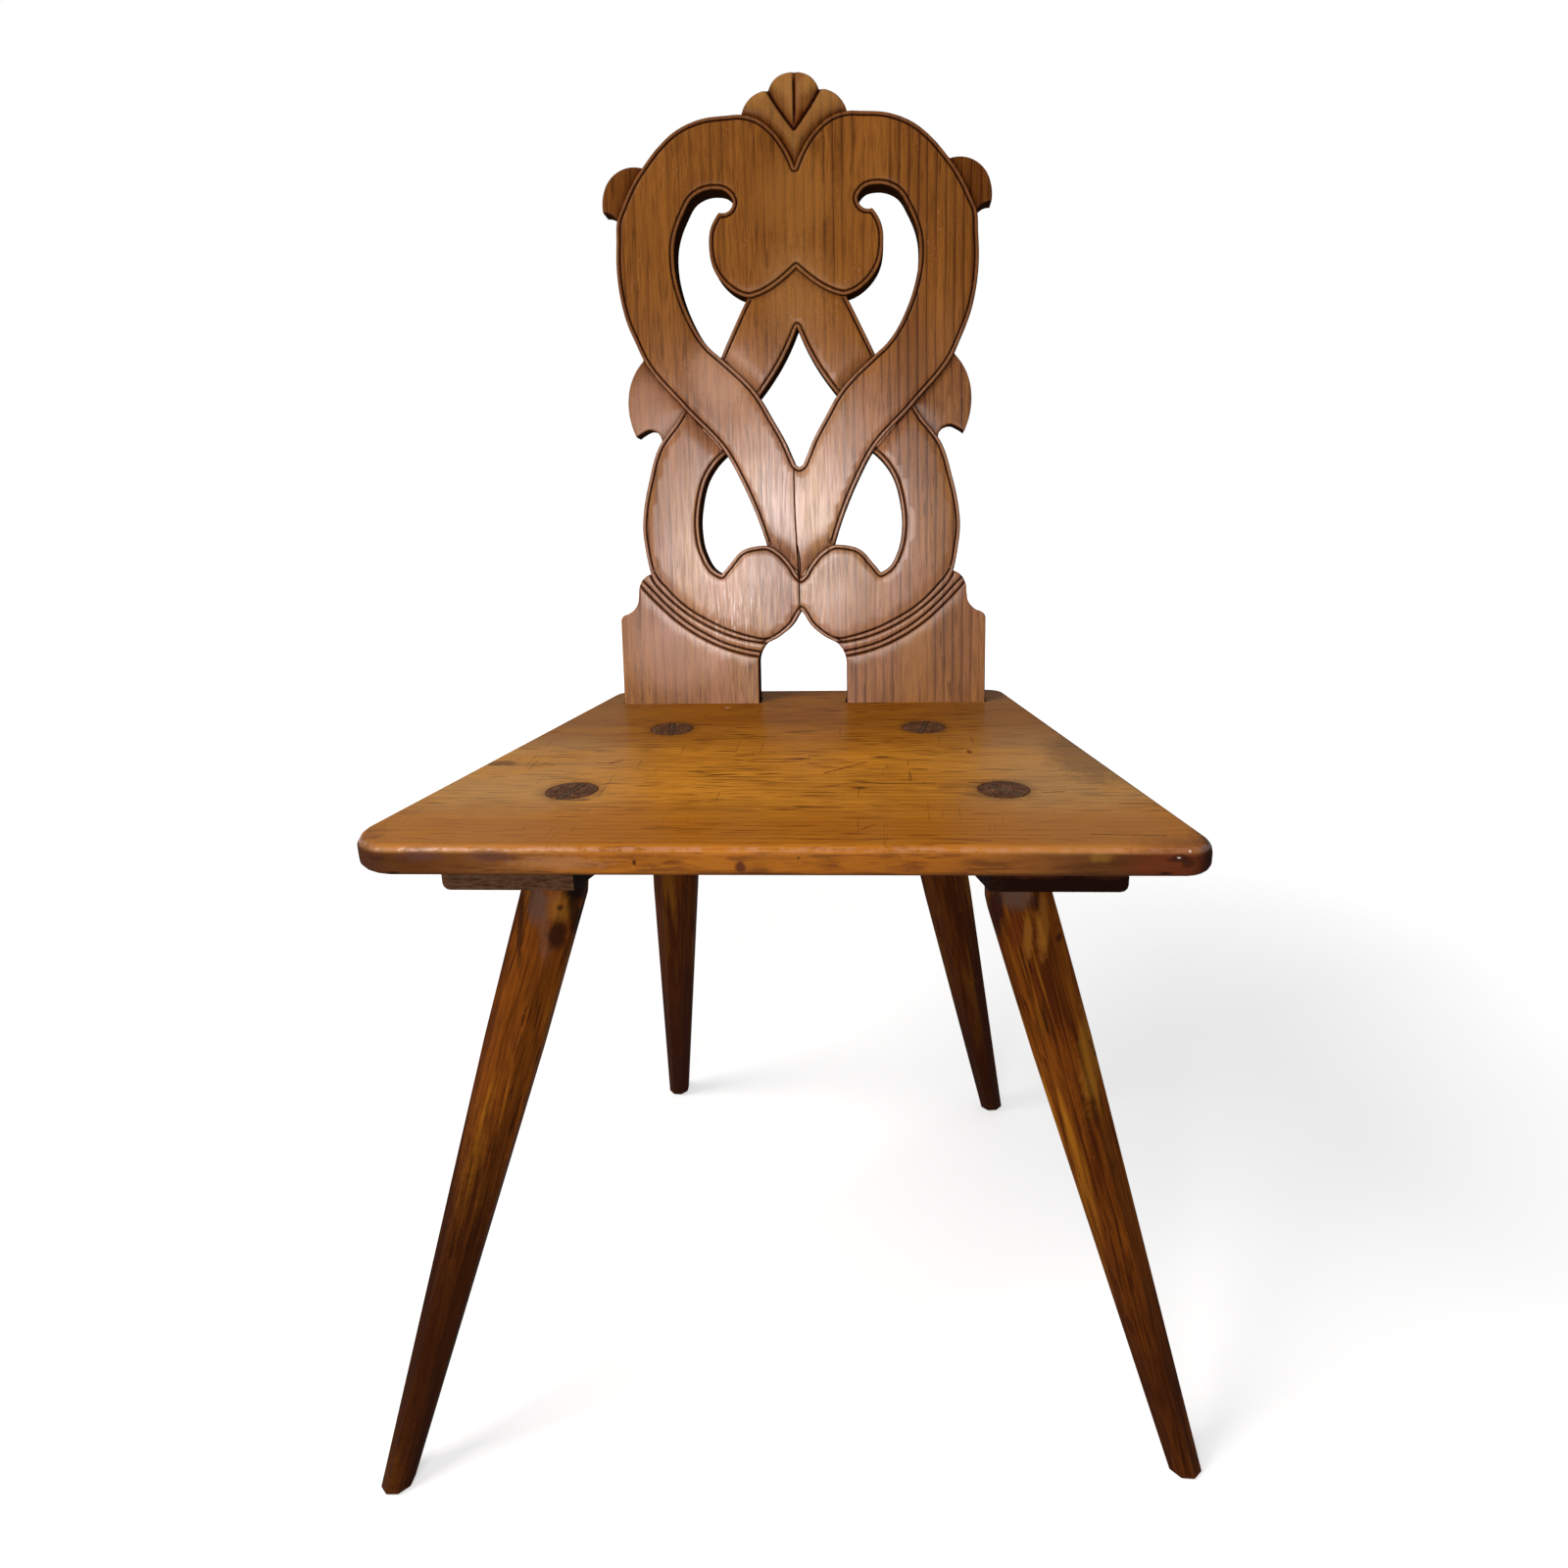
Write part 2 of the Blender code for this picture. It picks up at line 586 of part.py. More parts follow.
def seat_top_trimmer(name: str, place: LegPlace) -> bpy.types.Object:
    """Return the block that cuts a tenon off flush with the seat's top."""
    block = 4 * TENON_RADIUS
    top_centre = tenon_line(place)[1]
    middle = top_centre + Vector((0.0, 0.0, 0.5 * block))
    mesh = bmesh.new()
    bmesh.ops.create_cube(mesh, size=block, matrix=Matrix.Translation(middle))
    return object_from(name, mesh)


def stations_past_ends(overrun: float) -> list:
    """Return the leg's stations with the tapers at both ends carried on by a share of its length."""
    (top, top_width), (below, below_width) = LEG_STATIONS[:2]
    (above, above_width), (foot, foot_width) = LEG_STATIONS[-2:]
    top_taper = (top_width - below_width) / (top - below)
    foot_taper = (above_width - foot_width) / (above - foot)
    return [
        (top + overrun, top_width + overrun * top_taper),
        *LEG_STATIONS[1:-1],
        (foot - overrun, foot_width - overrun * foot_taper),
    ]


def leg(name: str, place: LegPlace, material: bpy.types.Material) -> bpy.types.Object:
    """Build one shaved octagonal leg with its round tenon and the wedge's kerf."""
    shoulder = tenon_line(place)[0]
    outwards, backwards = place.splay
    foot = Vector((shoulder.x + place.side * outwards, shoulder.y + backwards, 0.0))
    axis = (shoulder - foot).normalized()
    sideways = axis.cross(Vector((0.0, 1.0, 0.0))).normalized()
    forward = axis.cross(sideways)
    length = (shoulder - foot).length
    mesh = bmesh.new()
    rings = []
    for share, width in stations_past_ends(0.5 * LEG_TOP_WIDTH / length):
        centre = foot + axis * (length * share)
        radius = 0.5 * place.girth * width / math.cos(math.pi / LEG_SIDES)
        ring = []
        for side in range(LEG_SIDES):
            turn = 2 * math.pi * (side + 0.5) / LEG_SIDES
            arris = math.cos(turn) * sideways + math.sin(turn) * forward
            ring.append(mesh.verts.new(centre + radius * arris))
        rings.append(ring)
    loft(mesh, rings)
    trim(mesh, Vector((0.0, 0.0, 0.0)), Vector((0.0, 0.0, -1.0)))
    trim(mesh, Vector((0.0, 0.0, BATTEN_BOTTOM - FIT_GAP)), Vector((0.0, 0.0, 1.0)))
    if not place.rear:
        inner_face = shoulder.x - place.side * LEG_SHAVE
        trim(mesh, Vector((inner_face, 0.0, 0.0)), Vector((-place.side, 0.0, 0.0)))
    bmesh.ops.recalc_face_normals(mesh, faces=mesh.faces)
    bmesh.ops.bevel(mesh, geom=edges_at_height(mesh, 0.0), offset=LEG_FOOT_CHAMFER, segments=1,
                    affect="EDGES")
    body = object_from(f"{name}_leg", mesh, material)
    boolean(body, tenon_bar(f"{name}_tenon", place, TENON_RADIUS), "UNION")
    boolean(body, wedge_prism(f"{name}_kerf", place, FIT_GAP, TENON_RADIUS), "DIFFERENCE")
    boolean(body, seat_top_trimmer(f"{name}_trimmer", place), "DIFFERENCE")
    return body


def key_solid(name: str, side: int, clearance: float, draw: float, material=None) -> bpy.types.Object:
    """Make the key under the batten, or with a clearance the slot that takes it."""
    centre_x = BACK_CENTRE_X + side * FOOT_CENTRE
    below = SEAT_HEIGHT - BATTEN_BOTTOM + 0.5 * KEY_HEAD_HEIGHT
    centre_y = BACK_FACE_Y + 0.5 * BACK_THICKNESS / math.cos(BACK_RECLINE) - below * math.tan(BACK_RECLINE)
    half_width = 0.5 * KEY_WIDTH + clearance
    half_length = 0.5 * KEY_LENGTH + clearance
    top = BATTEN_BOTTOM - FIT_GAP + draw
    mesh = bmesh.new()
    rings = []
    for y, height in ((centre_y - half_length, KEY_TIP_HEIGHT), (centre_y + half_length, KEY_HEAD_HEIGHT)):
        low = BATTEN_BOTTOM - FIT_GAP - height - clearance
        corners = ((-half_width, low), (half_width, low), (half_width, top), (-half_width, top))
        rings.append([mesh.verts.new((centre_x + x, y, z)) for x, z in corners])
    loft(mesh, rings)
    return object_from(name, mesh, material)


def build_chair() -> list:
    """Build every piece of the chair and fit them together."""
    honey = wood("seat_wood", (0.45, 0.24, 0.08), 0.45)
    brown = wood("back_wood", (0.33, 0.15, 0.06), 0.42)
    golden = wood("leg_wood", (0.30, 0.12, 0.035), 0.40)
    dark = wood("batten_wood", (0.10, 0.05, 0.025), 0.60)
    grey = wood("wedge_wood", (0.14, 0.08, 0.05), 0.60)
    keyed = wood("key_wood", (0.17, 0.09, 0.04), 0.60)

    seat = seat_board(honey)
    board = back_board(brown)
    pieces = [seat, board]
    for side, side_name in ((-1, "left"), (1, "right")):
        batten = under_seat_bar(f"{side_name}_batten", side, batten_section, BATTEN_SETBACK,
                                SEAT_DEPTH - BATTEN_REAR_SETBACK, dark)
        groove = under_seat_bar(f"{side_name}_groove", side, groove_section, BATTEN_SETBACK - FIT_GAP,
                                SEAT_DEPTH + BATTEN_DEPTH)
        boolean(seat, groove, "DIFFERENCE")
        mortise = foot_cutter(side)
        boolean(seat, mortise, "DIFFERENCE")
        boolean(batten, mortise, "DIFFERENCE")
        for end in ("front", "rear"):
            name = f"{end}_{side_name}"
            place = LEGS[name]
            hole = tenon_bar(f"{name}_hole", place, TENON_RADIUS + FIT_GAP)
            boolean(seat, hole, "DIFFERENCE")
            boolean(batten, hole, "DIFFERENCE")
            pieces.append(leg(name, place, golden))
            pieces.append(wedge_prism(f"{name}_wedge", place, 0.0, 0.0, grey))
        key = key_solid(f"{side_name}_back_key", side, 0.0, 0.0, keyed)
        boolean(board, key_solid(f"{side_name}_key_slot", side, FIT_GAP, KEY_DRAW), "DIFFERENCE")
        pieces.extend((batten, key))
    return pieces


def centre_on_floor(pieces: list) -> None:
    """Stand the whole chair with the middle of its plan over the origin."""
    bpy.context.view_layer.update()
    depsgraph = bpy.context.evaluated_depsgraph_get()
    corners = []
    for piece in pieces:
        evaluated = piece.evaluated_get(depsgraph)
        corners.extend(piece.matrix_world @ Vector(corner) for corner in evaluated.bound_box)
    middle_x = 0.5 * (min(corner.x for corner in corners) + max(corner.x for corner in corners))
    middle_y = 0.5 * (min(corner.y for corner in corners) + max(corner.y for corner in corners))
    chair = bpy.data.objects.new("chair", None)
    bpy.context.scene.collection.objects.link(chair)
    for obj in bpy.context.scene.objects:
        if obj is not chair:
            obj.parent = chair
    chair.location = (-middle_x, -middle_y, 0.0)


def main() -> None:
    """Build the chair in an empty scene."""
    clear_scene()
    centre_on_floor(build_chair())


main()
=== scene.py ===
"""Looks of the carved board chair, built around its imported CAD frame.

Metres, +Z up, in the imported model's frame. Only the drawing of the carved back is in millimetres.
"""

import logging
import math
from collections.abc import Iterator
from contextlib import contextmanager
from dataclasses import dataclass, replace
from enum import Enum

import bpy
import numpy as np
from mathutils import Matrix, Vector, noise
from mathutils.geometry import convex_hull_2d, delaunay_2d_cdt, interpolate_bezier


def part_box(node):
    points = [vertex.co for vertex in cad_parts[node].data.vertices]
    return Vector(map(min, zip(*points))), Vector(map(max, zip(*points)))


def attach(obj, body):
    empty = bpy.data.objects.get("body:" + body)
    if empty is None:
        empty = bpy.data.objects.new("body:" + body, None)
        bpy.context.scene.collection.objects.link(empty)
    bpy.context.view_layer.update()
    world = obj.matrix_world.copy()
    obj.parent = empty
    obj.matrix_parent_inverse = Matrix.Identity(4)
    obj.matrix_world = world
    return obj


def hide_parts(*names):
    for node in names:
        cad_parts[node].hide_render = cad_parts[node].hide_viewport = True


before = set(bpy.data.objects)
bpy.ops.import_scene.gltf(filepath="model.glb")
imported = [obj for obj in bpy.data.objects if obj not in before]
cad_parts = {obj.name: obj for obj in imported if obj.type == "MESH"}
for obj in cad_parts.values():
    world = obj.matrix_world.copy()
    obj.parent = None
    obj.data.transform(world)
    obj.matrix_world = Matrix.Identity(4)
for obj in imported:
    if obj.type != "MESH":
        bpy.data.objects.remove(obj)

LOG = logging.getLogger("board_chair")
MM = 0.001
BODY = "root"
FAR = 1e3
BATCH = 3000
SHARP_TURN = 0.2
VECTOR_SOCKETS = ("Centre", "Half", "From", "To")
DULL_GLOSS = 0.02
WHITE = (1.0, 1.0, 1.0)
LEGS = ("front_left_leg", "front_right_leg", "rear_left_leg", "rear_right_leg")


# Sizes shared with the CAD model

@dataclass(frozen=True)
class ChairSizes:
    """Sizes that the frame does not state but its solids were built from."""

    seat_thickness: float = 0.0172
    batten_depth: float = 0.0345
    back_setback: float = 0.044
    recline: float = math.radians(6.9)
    back_thickness: float = 0.019
    tenon_stand_out: float = 0.026
    housing_depth: float = 0.005
    fit_gap: float = 0.0003
    key_width: float = 0.012
    key_height: float = 0.0125
    key_draw: float = 0.002

    def seat_top(self) -> float:
        """Return the height of the seat's top."""
        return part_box("seat_board")[1].z

    def batten_bottom(self) -> float:
        """Return the height of the battens' underside."""
        return self.seat_top() - self.seat_thickness - self.batten_depth


SIZES = ChairSizes()


# Modelling helpers

def deselect_all() -> None:
    """Leave nothing selected and no object active."""
    bpy.ops.object.select_all(action="DESELECT")
    bpy.context.view_layer.objects.active = None


def make_active(obj: bpy.types.Object) -> None:
    """Select one object alone and make it active."""
    deselect_all()
    obj.select_set(True)
    bpy.context.view_layer.objects.active = obj


@contextmanager
def editing(obj: bpy.types.Object) -> Iterator[None]:
    """Work on one object in edit mode and leave it again."""
    make_active(obj)
    bpy.ops.object.mode_set(mode="EDIT")
    yield
    bpy.ops.object.mode_set(mode="OBJECT")


def add_object(name: str, data: bpy.types.ID) -> bpy.types.Object:
    """Put a mesh, camera or lamp into the scene as an object."""
    obj = bpy.data.objects.new(name, data)
    bpy.context.scene.collection.objects.link(obj)
    return obj


def shade_smooth(obj: bpy.types.Object, angle: float) -> None:
    """Shade an object smooth, but for edges sharper than an angle in degrees."""
    make_active(obj)
    bpy.ops.object.shade_smooth_by_angle(angle=math.radians(angle))


def merged_copy(node: str, name: str) -> bpy.types.Object:
    """Copy a CAD node with its loose triangles merged into one shell.

    Args:
        node: Name of the CAD node.
        name: Name of the new object.

    Returns:
        The copy, at the origin, with its place in its mesh.
    """
    obj = add_object(name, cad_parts[node].data.copy())
    obj.data.name = name
    obj.data.materials.clear()
    with editing(obj):
        bpy.ops.mesh.select_all(action="SELECT")
        bpy.ops.mesh.remove_doubles(threshold=1e-6)
        bpy.ops.mesh.customdata_custom_splitnormals_clear()
        bpy.ops.mesh.dissolve_limited(angle_limit=math.radians(0.3))
    return obj


def soften(obj: bpy.types.Object, width: float, segments: int, angle: float) -> None:
    """Round an object's sharp edges with an applied bevel.

    Args:
        obj: The object to round.
        width: Width of the rounding.
        segments: Number of faces across the rounding.
        angle: Smallest angle in degrees between faces that counts as an edge.
    """
    bevel = obj.modifiers.new("soft_arris", "BEVEL")
    bevel.width = width
    bevel.segments = segments
    bevel.limit_method = "ANGLE"
    bevel.angle_limit = math.radians(angle)
    bevel.use_clamp_overlap = True
    make_active(obj)
    bpy.ops.object.modifier_apply(modifier=bevel.name)


def install(obj: bpy.types.Object, node: str) -> None:
    """Let a finished piece stand for a CAD node and ride on the chair's body."""
    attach(obj, BODY)
    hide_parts(node)
    LOG.info("%s stands for %s with %d faces", obj.name, node, len(obj.data.polygons))


# Node graphs

class Graph:
    """Adds shader nodes to one node tree and links them."""

    def __init__(self, tree: bpy.types.NodeTree) -> None:
        """Keep the tree that the nodes go into."""
        self.tree = tree

    def node(self, kind: str, values: dict | None = None, **settings) -> bpy.types.Node:
        """Add a node.

        Args:
            kind: Name of the node's type, without the ShaderNode prefix.
            values: Input socket names or numbers, with plain values or sockets to link.
            **settings: Properties of the node.

        Returns:
            The new node.
        """
        made = self.tree.nodes.new(f"ShaderNode{kind}")
        for name, value in settings.items():
            setattr(made, name, value)
        self.feed(made, values or {})
        return made

    def feed(self, node: bpy.types.Node, values: dict) -> None:
        """Link inputs of a node to sockets, or give them plain values; a colour gets full alpha."""
        for name, value in values.items():
            socket = node.inputs[name]
            if isinstance(value, bpy.types.NodeSocket):
                self.tree.links.new(value, socket)
            elif socket.type == "RGBA":
                socket.default_value = (*value, 1.0)
            else:
                socket.default_value = value

    def group(self, tree: bpy.types.NodeTree, values: dict) -> bpy.types.Node:
        """Add a shared effect with its own values."""
        made = self.node("Group", node_tree=tree)
        self.feed(made, values)
        return made

    def math(self, operation: str, first, second=0.0, clamp: bool = False) -> bpy.types.NodeSocket:
        """Return the result of a Math node."""
        made = self.node("Math", {0: first, 1: second}, operation=operation, use_clamp=clamp)
        return made.outputs[0]

    def fold(self, operation: str, values: tuple, clamp: bool) -> bpy.types.NodeSocket:
        """Return values joined in order by one operation, with the last step clamped where asked."""
        result = values[0]
        for number, value in enumerate(values[1:], 2):
            result = self.math(operation, result, value, clamp and number == len(values))
        return result

    def times(self, *values, clamp: bool = False) -> bpy.types.NodeSocket:
        """Return a product, clamped to 0..1 where asked."""
        return self.fold("MULTIPLY", values, clamp)

    def plus(self, *values, clamp: bool = False) -> bpy.types.NodeSocket:
        """Return a sum, clamped to 0..1 where asked."""
        return self.fold("ADD", values, clamp)

    def vectors(self, operation: str, values: dict, output: str = "Vector") -> bpy.types.NodeSocket:
        """Return an output of a Vector Math node."""
        return self.node("VectorMath", values, operation=operation).outputs[output]

    def part(self, vector, axis: str) -> bpy.types.NodeSocket:
        """Return one part of a vector."""
        return self.node("SeparateXYZ", {"Vector": vector}).outputs[axis]

    def mix(self, share, first, second, blend: str = "MIX") -> bpy.types.NodeSocket:
        """Return a mixed colour: first where share is 0, second where it is 1."""
        made = self.node("Mix", data_type="RGBA", blend_type=blend)
        self.feed(made, {0: share, 6: first, 7: second})
        return made.outputs[2]

    def layers(self, colour, *layers: tuple) -> bpy.types.NodeSocket:
        """Return a colour with others laid over it: pairs of a share and a colour, the lowest first."""
        for share, tone in layers:
            colour = self.mix(share, colour, tone)
        return colour

    def mapped(self, vector, scale: tuple = (1, 1, 1), location: tuple = (0, 0, 0),
               rotation: tuple = (0, 0, 0)) -> bpy.types.NodeSocket:
        """Return a vector scaled, then turned, then moved by a Mapping node."""
        return self.node("Mapping", {"Vector": vector, "Scale": scale, "Location": location,
                                     "Rotation": rotation}).outputs["Vector"]

    def noise(self, vector, scale: float, detail: float = 2.0, roughness: float = 0.5,
              distortion: float = 0.0) -> bpy.types.NodeSocket:
        """Return the grey value of a Noise texture."""
        made = self.node("TexNoise", {"Vector": vector, "Scale": scale, "Detail": detail,
                                      "Roughness": roughness, "Distortion": distortion})
        return made.outputs["Fac"]

    def span(self, value, low: float, high: float, start: float = 0.0,
             end: float = 1.0) -> bpy.types.NodeSocket:
        """Return a value mapped from low..high to start..end, smoothly and clamped."""
        made = self.node("MapRange", {"Value": value, "From Min": low, "From Max": high,
                                      "To Min": start, "To Max": end},
                         interpolation_type="SMOOTHSTEP", clamp=True)
        return made.outputs["Result"]

    def attribute(self, name: str, output: str) -> bpy.types.NodeSocket:
        """Return an output of an Attribute node that reads the piece's own attribute."""
        return self.node("Attribute", attribute_name=name).outputs[output]

    def where(self) -> bpy.types.NodeSocket:
        """Return the piece's Object coordinates."""
        return self.node("TexCoord").outputs["Object"]

    def normal(self) -> bpy.types.NodeSocket:
        """Return the surface's own normal."""
        return self.node("NewGeometry").outputs["Normal"]

    def bump(self, height, distance: float) -> bpy.types.NodeSocket:
        """Return a normal bent by a height, which counts as a distance in metres."""
        return self.node("Bump", {"Height": height, "Distance": distance}).outputs["Normal"]


def new_group(name: str, inputs: dict, outputs: tuple) -> tuple:
    """Create an empty shader node group that works on a vector.

    Args:
        name: Name of the group.
        inputs: Names of the sockets after Vector, with their default values: a colour, a vector
            where the name is one of VECTOR_SOCKETS, or a number.
        outputs: Names of the sockets; Color is a colour, and the others are numbers.

    Returns:
        The group's tree, a Graph on it, its inputs' sockets and its output node.
    """
    tree = bpy.data.node_groups.new(name, "ShaderNodeTree")
    tree.interface.new_socket("Vector", in_out="INPUT", socket_type="NodeSocketVector")
    for socket, default in inputs.items():
        kind = "Vector" if socket in VECTOR_SOCKETS else "Color" if isinstance(default, tuple) else "Float"
        made = tree.interface.new_socket(socket, in_out="INPUT", socket_type=f"NodeSocket{kind}")
        if default is not None:
            made.default_value = (*default, 1.0) if kind == "Color" else default
    for socket in outputs:
        kind = "Color" if socket == "Color" else "Float"
        tree.interface.new_socket(socket, in_out="OUTPUT", socket_type=f"NodeSocket{kind}")
    return tree, Graph(tree), tree.nodes.new("NodeGroupInput").outputs, tree.nodes.new("NodeGroupOutput")


@dataclass(frozen=True)
class Wood:
    """One wood: its three tones, as colours or sockets, and how strongly its grain shows."""

    light: tuple
    dark: tuple
    pore: tuple
    figure: float = 0.9
    lines: float = 0.7
    pores: float = 0.8


@dataclass(frozen=True)
class Mark:
    """One stain, bruise or scuff, or a patch of painted shade or painted sheen: where it is, how far it
    reaches, its colour and its strength.
    """

    centre: tuple
    half: tuple
    colour: tuple
    strength: float = 0.8
    ragged: float = 0.9


@dataclass(frozen=True)
class Scratch:
    """One drawn scratch: its ends, width, colour and strength."""

    start: tuple
    end: tuple
    width: float
    colour: tuple
    strength: float = 0.8


class SharedEffects:
    """The shader node groups that several finishes use, each built once."""

    def __init__(self) -> None:
        """Build every group."""
        self.grain = self.build_grain()
        self.wear = self.build_wear()
        self.spot = self.build_spot()
        self.line = self.build_line()
        self.end_grain = self.build_end_grain()

    def grown(self, g: Graph, vector, wood: Wood) -> bpy.types.NodeOutputs:
        """Place the grain of a wood and return its outputs."""
        return g.group(self.grain, {"Vector": vector, "Light": wood.light, "Dark": wood.dark,
                                    "Pore": wood.pore, "Figure": wood.figure, "Lines": wood.lines,
                                    "Pores": wood.pores}).outputs

    def used(self, g: Graph, vector, seed: float, stains: float) -> bpy.types.NodeOutputs:
        """Place the traces of long use and return their outputs."""
        return g.group(self.wear, {"Vector": vector, "Seed": seed, "Stains": stains}).outputs

    def mask(self, g: Graph, vector, mark: Mark | Scratch) -> bpy.types.NodeSocket:
        """Return how strongly a mark or a scratch covers the surface."""
        if isinstance(mark, Mark):
            made = g.group(self.spot, {"Vector": vector, "Centre": mark.centre, "Half": mark.half,
                                       "Ragged": mark.ragged})
        else:
            made = g.group(self.line, {"Vector": vector, "From": mark.start, "To": mark.end,
                                       "Width": mark.width})
        return g.times(made.outputs["Mask"], mark.strength)

    def marked(self, g: Graph, vector, colour, marks: tuple) -> bpy.types.NodeSocket:
        """Return a colour with marks and scratches laid over it, one after the other."""
        return g.layers(colour, *((self.mask(g, vector, mark), mark.colour) for mark in marks))

    @staticmethod
    def build_grain() -> bpy.types.NodeTree:
        """Build long grain along the vector's Z: tone, figure, growth lines and pores."""
        tree, g, given, out = new_group("long_grain", {
            "Light": (0.5, 0.3, 0.12), "Dark": (0.25, 0.12, 0.04), "Pore": (0.08, 0.03, 0.01),
            "Figure": 0.5, "Lines": 0.5, "Pores": 0.5}, ("Color", "Height", "Tone"))
        vector, light, dark, deepest = (given[name] for name in ("Vector", "Light", "Dark", "Pore"))
        broad = g.noise(g.mapped(vector, (1.0, 1.0, 0.14)), 26.0, 3.0, 0.55, 0.4)
        streak = g.noise(g.mapped(vector, (1.0, 1.0, 0.04), (3.1, 1.7, 0.4)), 310.0, 3.0, 0.66)
        fibre = g.noise(g.mapped(vector, (1.0, 1.0, 0.05), (7.3, 2.2, 0.9)), 820.0, 2.0, 0.7)
        rings = g.node("TexWave", {"Vector": g.mapped(vector, (1.0, 1.0, 0.10), (0.31, 0.17, 0.0)),
                                   "Scale": 52.0, "Distortion": 3.0, "Detail": 2.0,
                                   "Detail Scale": 0.7, "Detail Roughness": 0.5},
                       wave_type="RINGS", rings_direction="Z", wave_profile="SAW").outputs["Fac"]
        tone = g.span(g.plus(g.times(broad, 0.62), g.times(streak, 0.38)), 0.39, 0.61)
        lines = g.times(g.math("POWER", rings, 5.0), g.span(broad, 0.30, 0.6), given["Lines"], clamp=True)
        dash = g.noise(g.mapped(vector, (1.0, 1.0, 0.06), (0.2, 5.5, 2.6)), 820.0, 0.0)
        crowd = g.span(g.noise(g.mapped(vector, (1.0, 1.0, 0.3), (5.0, 1.0, 7.0)), 60.0, 2.0), 0.35, 0.60)
        pore = g.times(g.span(dash, 0.62, 0.72), crowd, given["Pores"])
        colour = g.layers(light, (g.times(tone, given["Figure"]), dark),
                          (lines, g.mix(0.65, dark, deepest)),
                          (g.times(g.span(fibre, 0.45, 0.68), 0.50), g.mix(0.35, dark, deepest)),
                          (pore, deepest))
        height = g.math("SUBTRACT", g.times(fibre, 0.4), pore)
        g.feed(out, {"Color": colour, "Height": height, "Tone": tone})
        return tree

    @staticmethod
    def build_wear() -> bpy.types.NodeTree:
        """Build blotches, fine scratches and small dark stains of long use."""
        tree, g, given, out = new_group("long_use", {"Seed": 0.0, "Stains": 0.5},
                                        ("Blotch", "Scratch", "Stain"))
        shift = g.node("CombineXYZ", {"X": given["Seed"], "Y": given["Seed"]}).outputs["Vector"]
        moved = g.vectors("ADD", {0: given["Vector"], 1: shift})
        scratch = None
        for turn, squeeze in ((0.5, 0.02), (-0.9, 0.03), (2.1, 0.018)):
            turned = g.mapped(moved, (1.0, squeeze, 1.0), rotation=(turn, turn * 0.6, turn))
            lines = g.span(g.noise(turned, 420.0, 1.0), 0.71, 0.75)
            scratch = lines if scratch is None else g.math("MAXIMUM", scratch, lines)
        patches = g.span(g.noise(moved, 31.0, 2.0), 0.5, 0.62)
        speck = g.span(g.noise(moved, 330.0, 2.0, 0.5, 0.6), 0.70, 0.76)
        cloud = g.span(g.noise(moved, 9.0, 3.0, 0.6), 0.55, 0.75)
        g.feed(out, {"Blotch": g.span(g.noise(moved, 14.0, 4.0, 0.6), 0.38, 0.66),
                     "Scratch": g.times(scratch, patches),
                     "Stain": g.times(g.math("MAXIMUM", speck, g.times(cloud, 0.5)), given["Stains"])})
        return tree

    @staticmethod
    def build_spot() -> bpy.types.NodeTree:
        """Build a soft-edged, ragged spot round a point, stretched by its half sizes."""
        tree, g, given, out = new_group("ragged_spot", {"Centre": None, "Half": (0.01, 0.01, 0.01),
                                                        "Ragged": 0.5}, ("Mask",))
        away = g.vectors("SUBTRACT", {0: given["Vector"], 1: given["Centre"]})
        reach = g.vectors("LENGTH", {0: g.vectors("DIVIDE", {0: away, 1: given["Half"]})}, "Value")
        rough = g.math("SUBTRACT", g.noise(given["Vector"], 190.0, 4.0, 0.65), 0.5)
        reach = g.plus(reach, g.times(rough, given["Ragged"]))
        g.feed(out, {"Mask": g.span(reach, 1.25, 0.45)})
        return tree

    @staticmethod
    def build_line() -> bpy.types.NodeTree:
        """Build a thin, ragged scratch from one point to another."""
        tree, g, given, out = new_group("drawn_scratch", {"From": None, "To": None, "Width": 0.001},
                                        ("Mask",))
        away = g.vectors("SUBTRACT", {0: given["Vector"], 1: given["From"]})
        run = g.vectors("SUBTRACT", {0: given["To"], 1: given["From"]})
        share = g.math("DIVIDE", g.vectors("DOT_PRODUCT", {0: away, 1: run}, "Value"),
                       g.vectors("DOT_PRODUCT", {0: run, 1: run}, "Value"), clamp=True)
        foot = g.vectors("SCALE", {0: run, "Scale": share})
        gap = g.vectors("DISTANCE", {0: away, 1: foot}, "Value")
        width = g.times(g.span(g.noise(given["Vector"], 420.0, 2.0), 0.35, 0.65, 0.5, 1.3), given["Width"])
        g.feed(out, {"Mask": g.math("SUBTRACT", 1.0, g.math("DIVIDE", gap, width, clamp=True))})
        return tree

    @staticmethod
    def build_end_grain() -> bpy.types.NodeTree:
        """Build the dark, open look of wood cut across its fibres."""
        tree, g, given, out = new_group("cut_across", {"Light": (0.2, 0.12, 0.07),
                                                       "Dark": (0.05, 0.03, 0.02)}, ("Color", "Height"))
        open_pores = g.node("TexVoronoi", {"Vector": given["Vector"], "Scale": 900.0}).outputs["Distance"]
        share = g.plus(g.times(open_pores, 0.5), g.times(g.noise(given["Vector"], 160.0, 4.0, 0.65), 0.7))
        g.feed(out, {"Color": g.mix(g.span(share, 0.3, 0.75), given["Light"], given["Dark"]),
                     "Height": share})
        return tree


def start_material(name: str) -> tuple:
    """Create a node material and return it with its Graph and its Principled shader."""
    material = bpy.data.materials.new(name)
    material.use_nodes = True
    return material, Graph(material.node_tree), material.node_tree.nodes["Principled BSDF"]


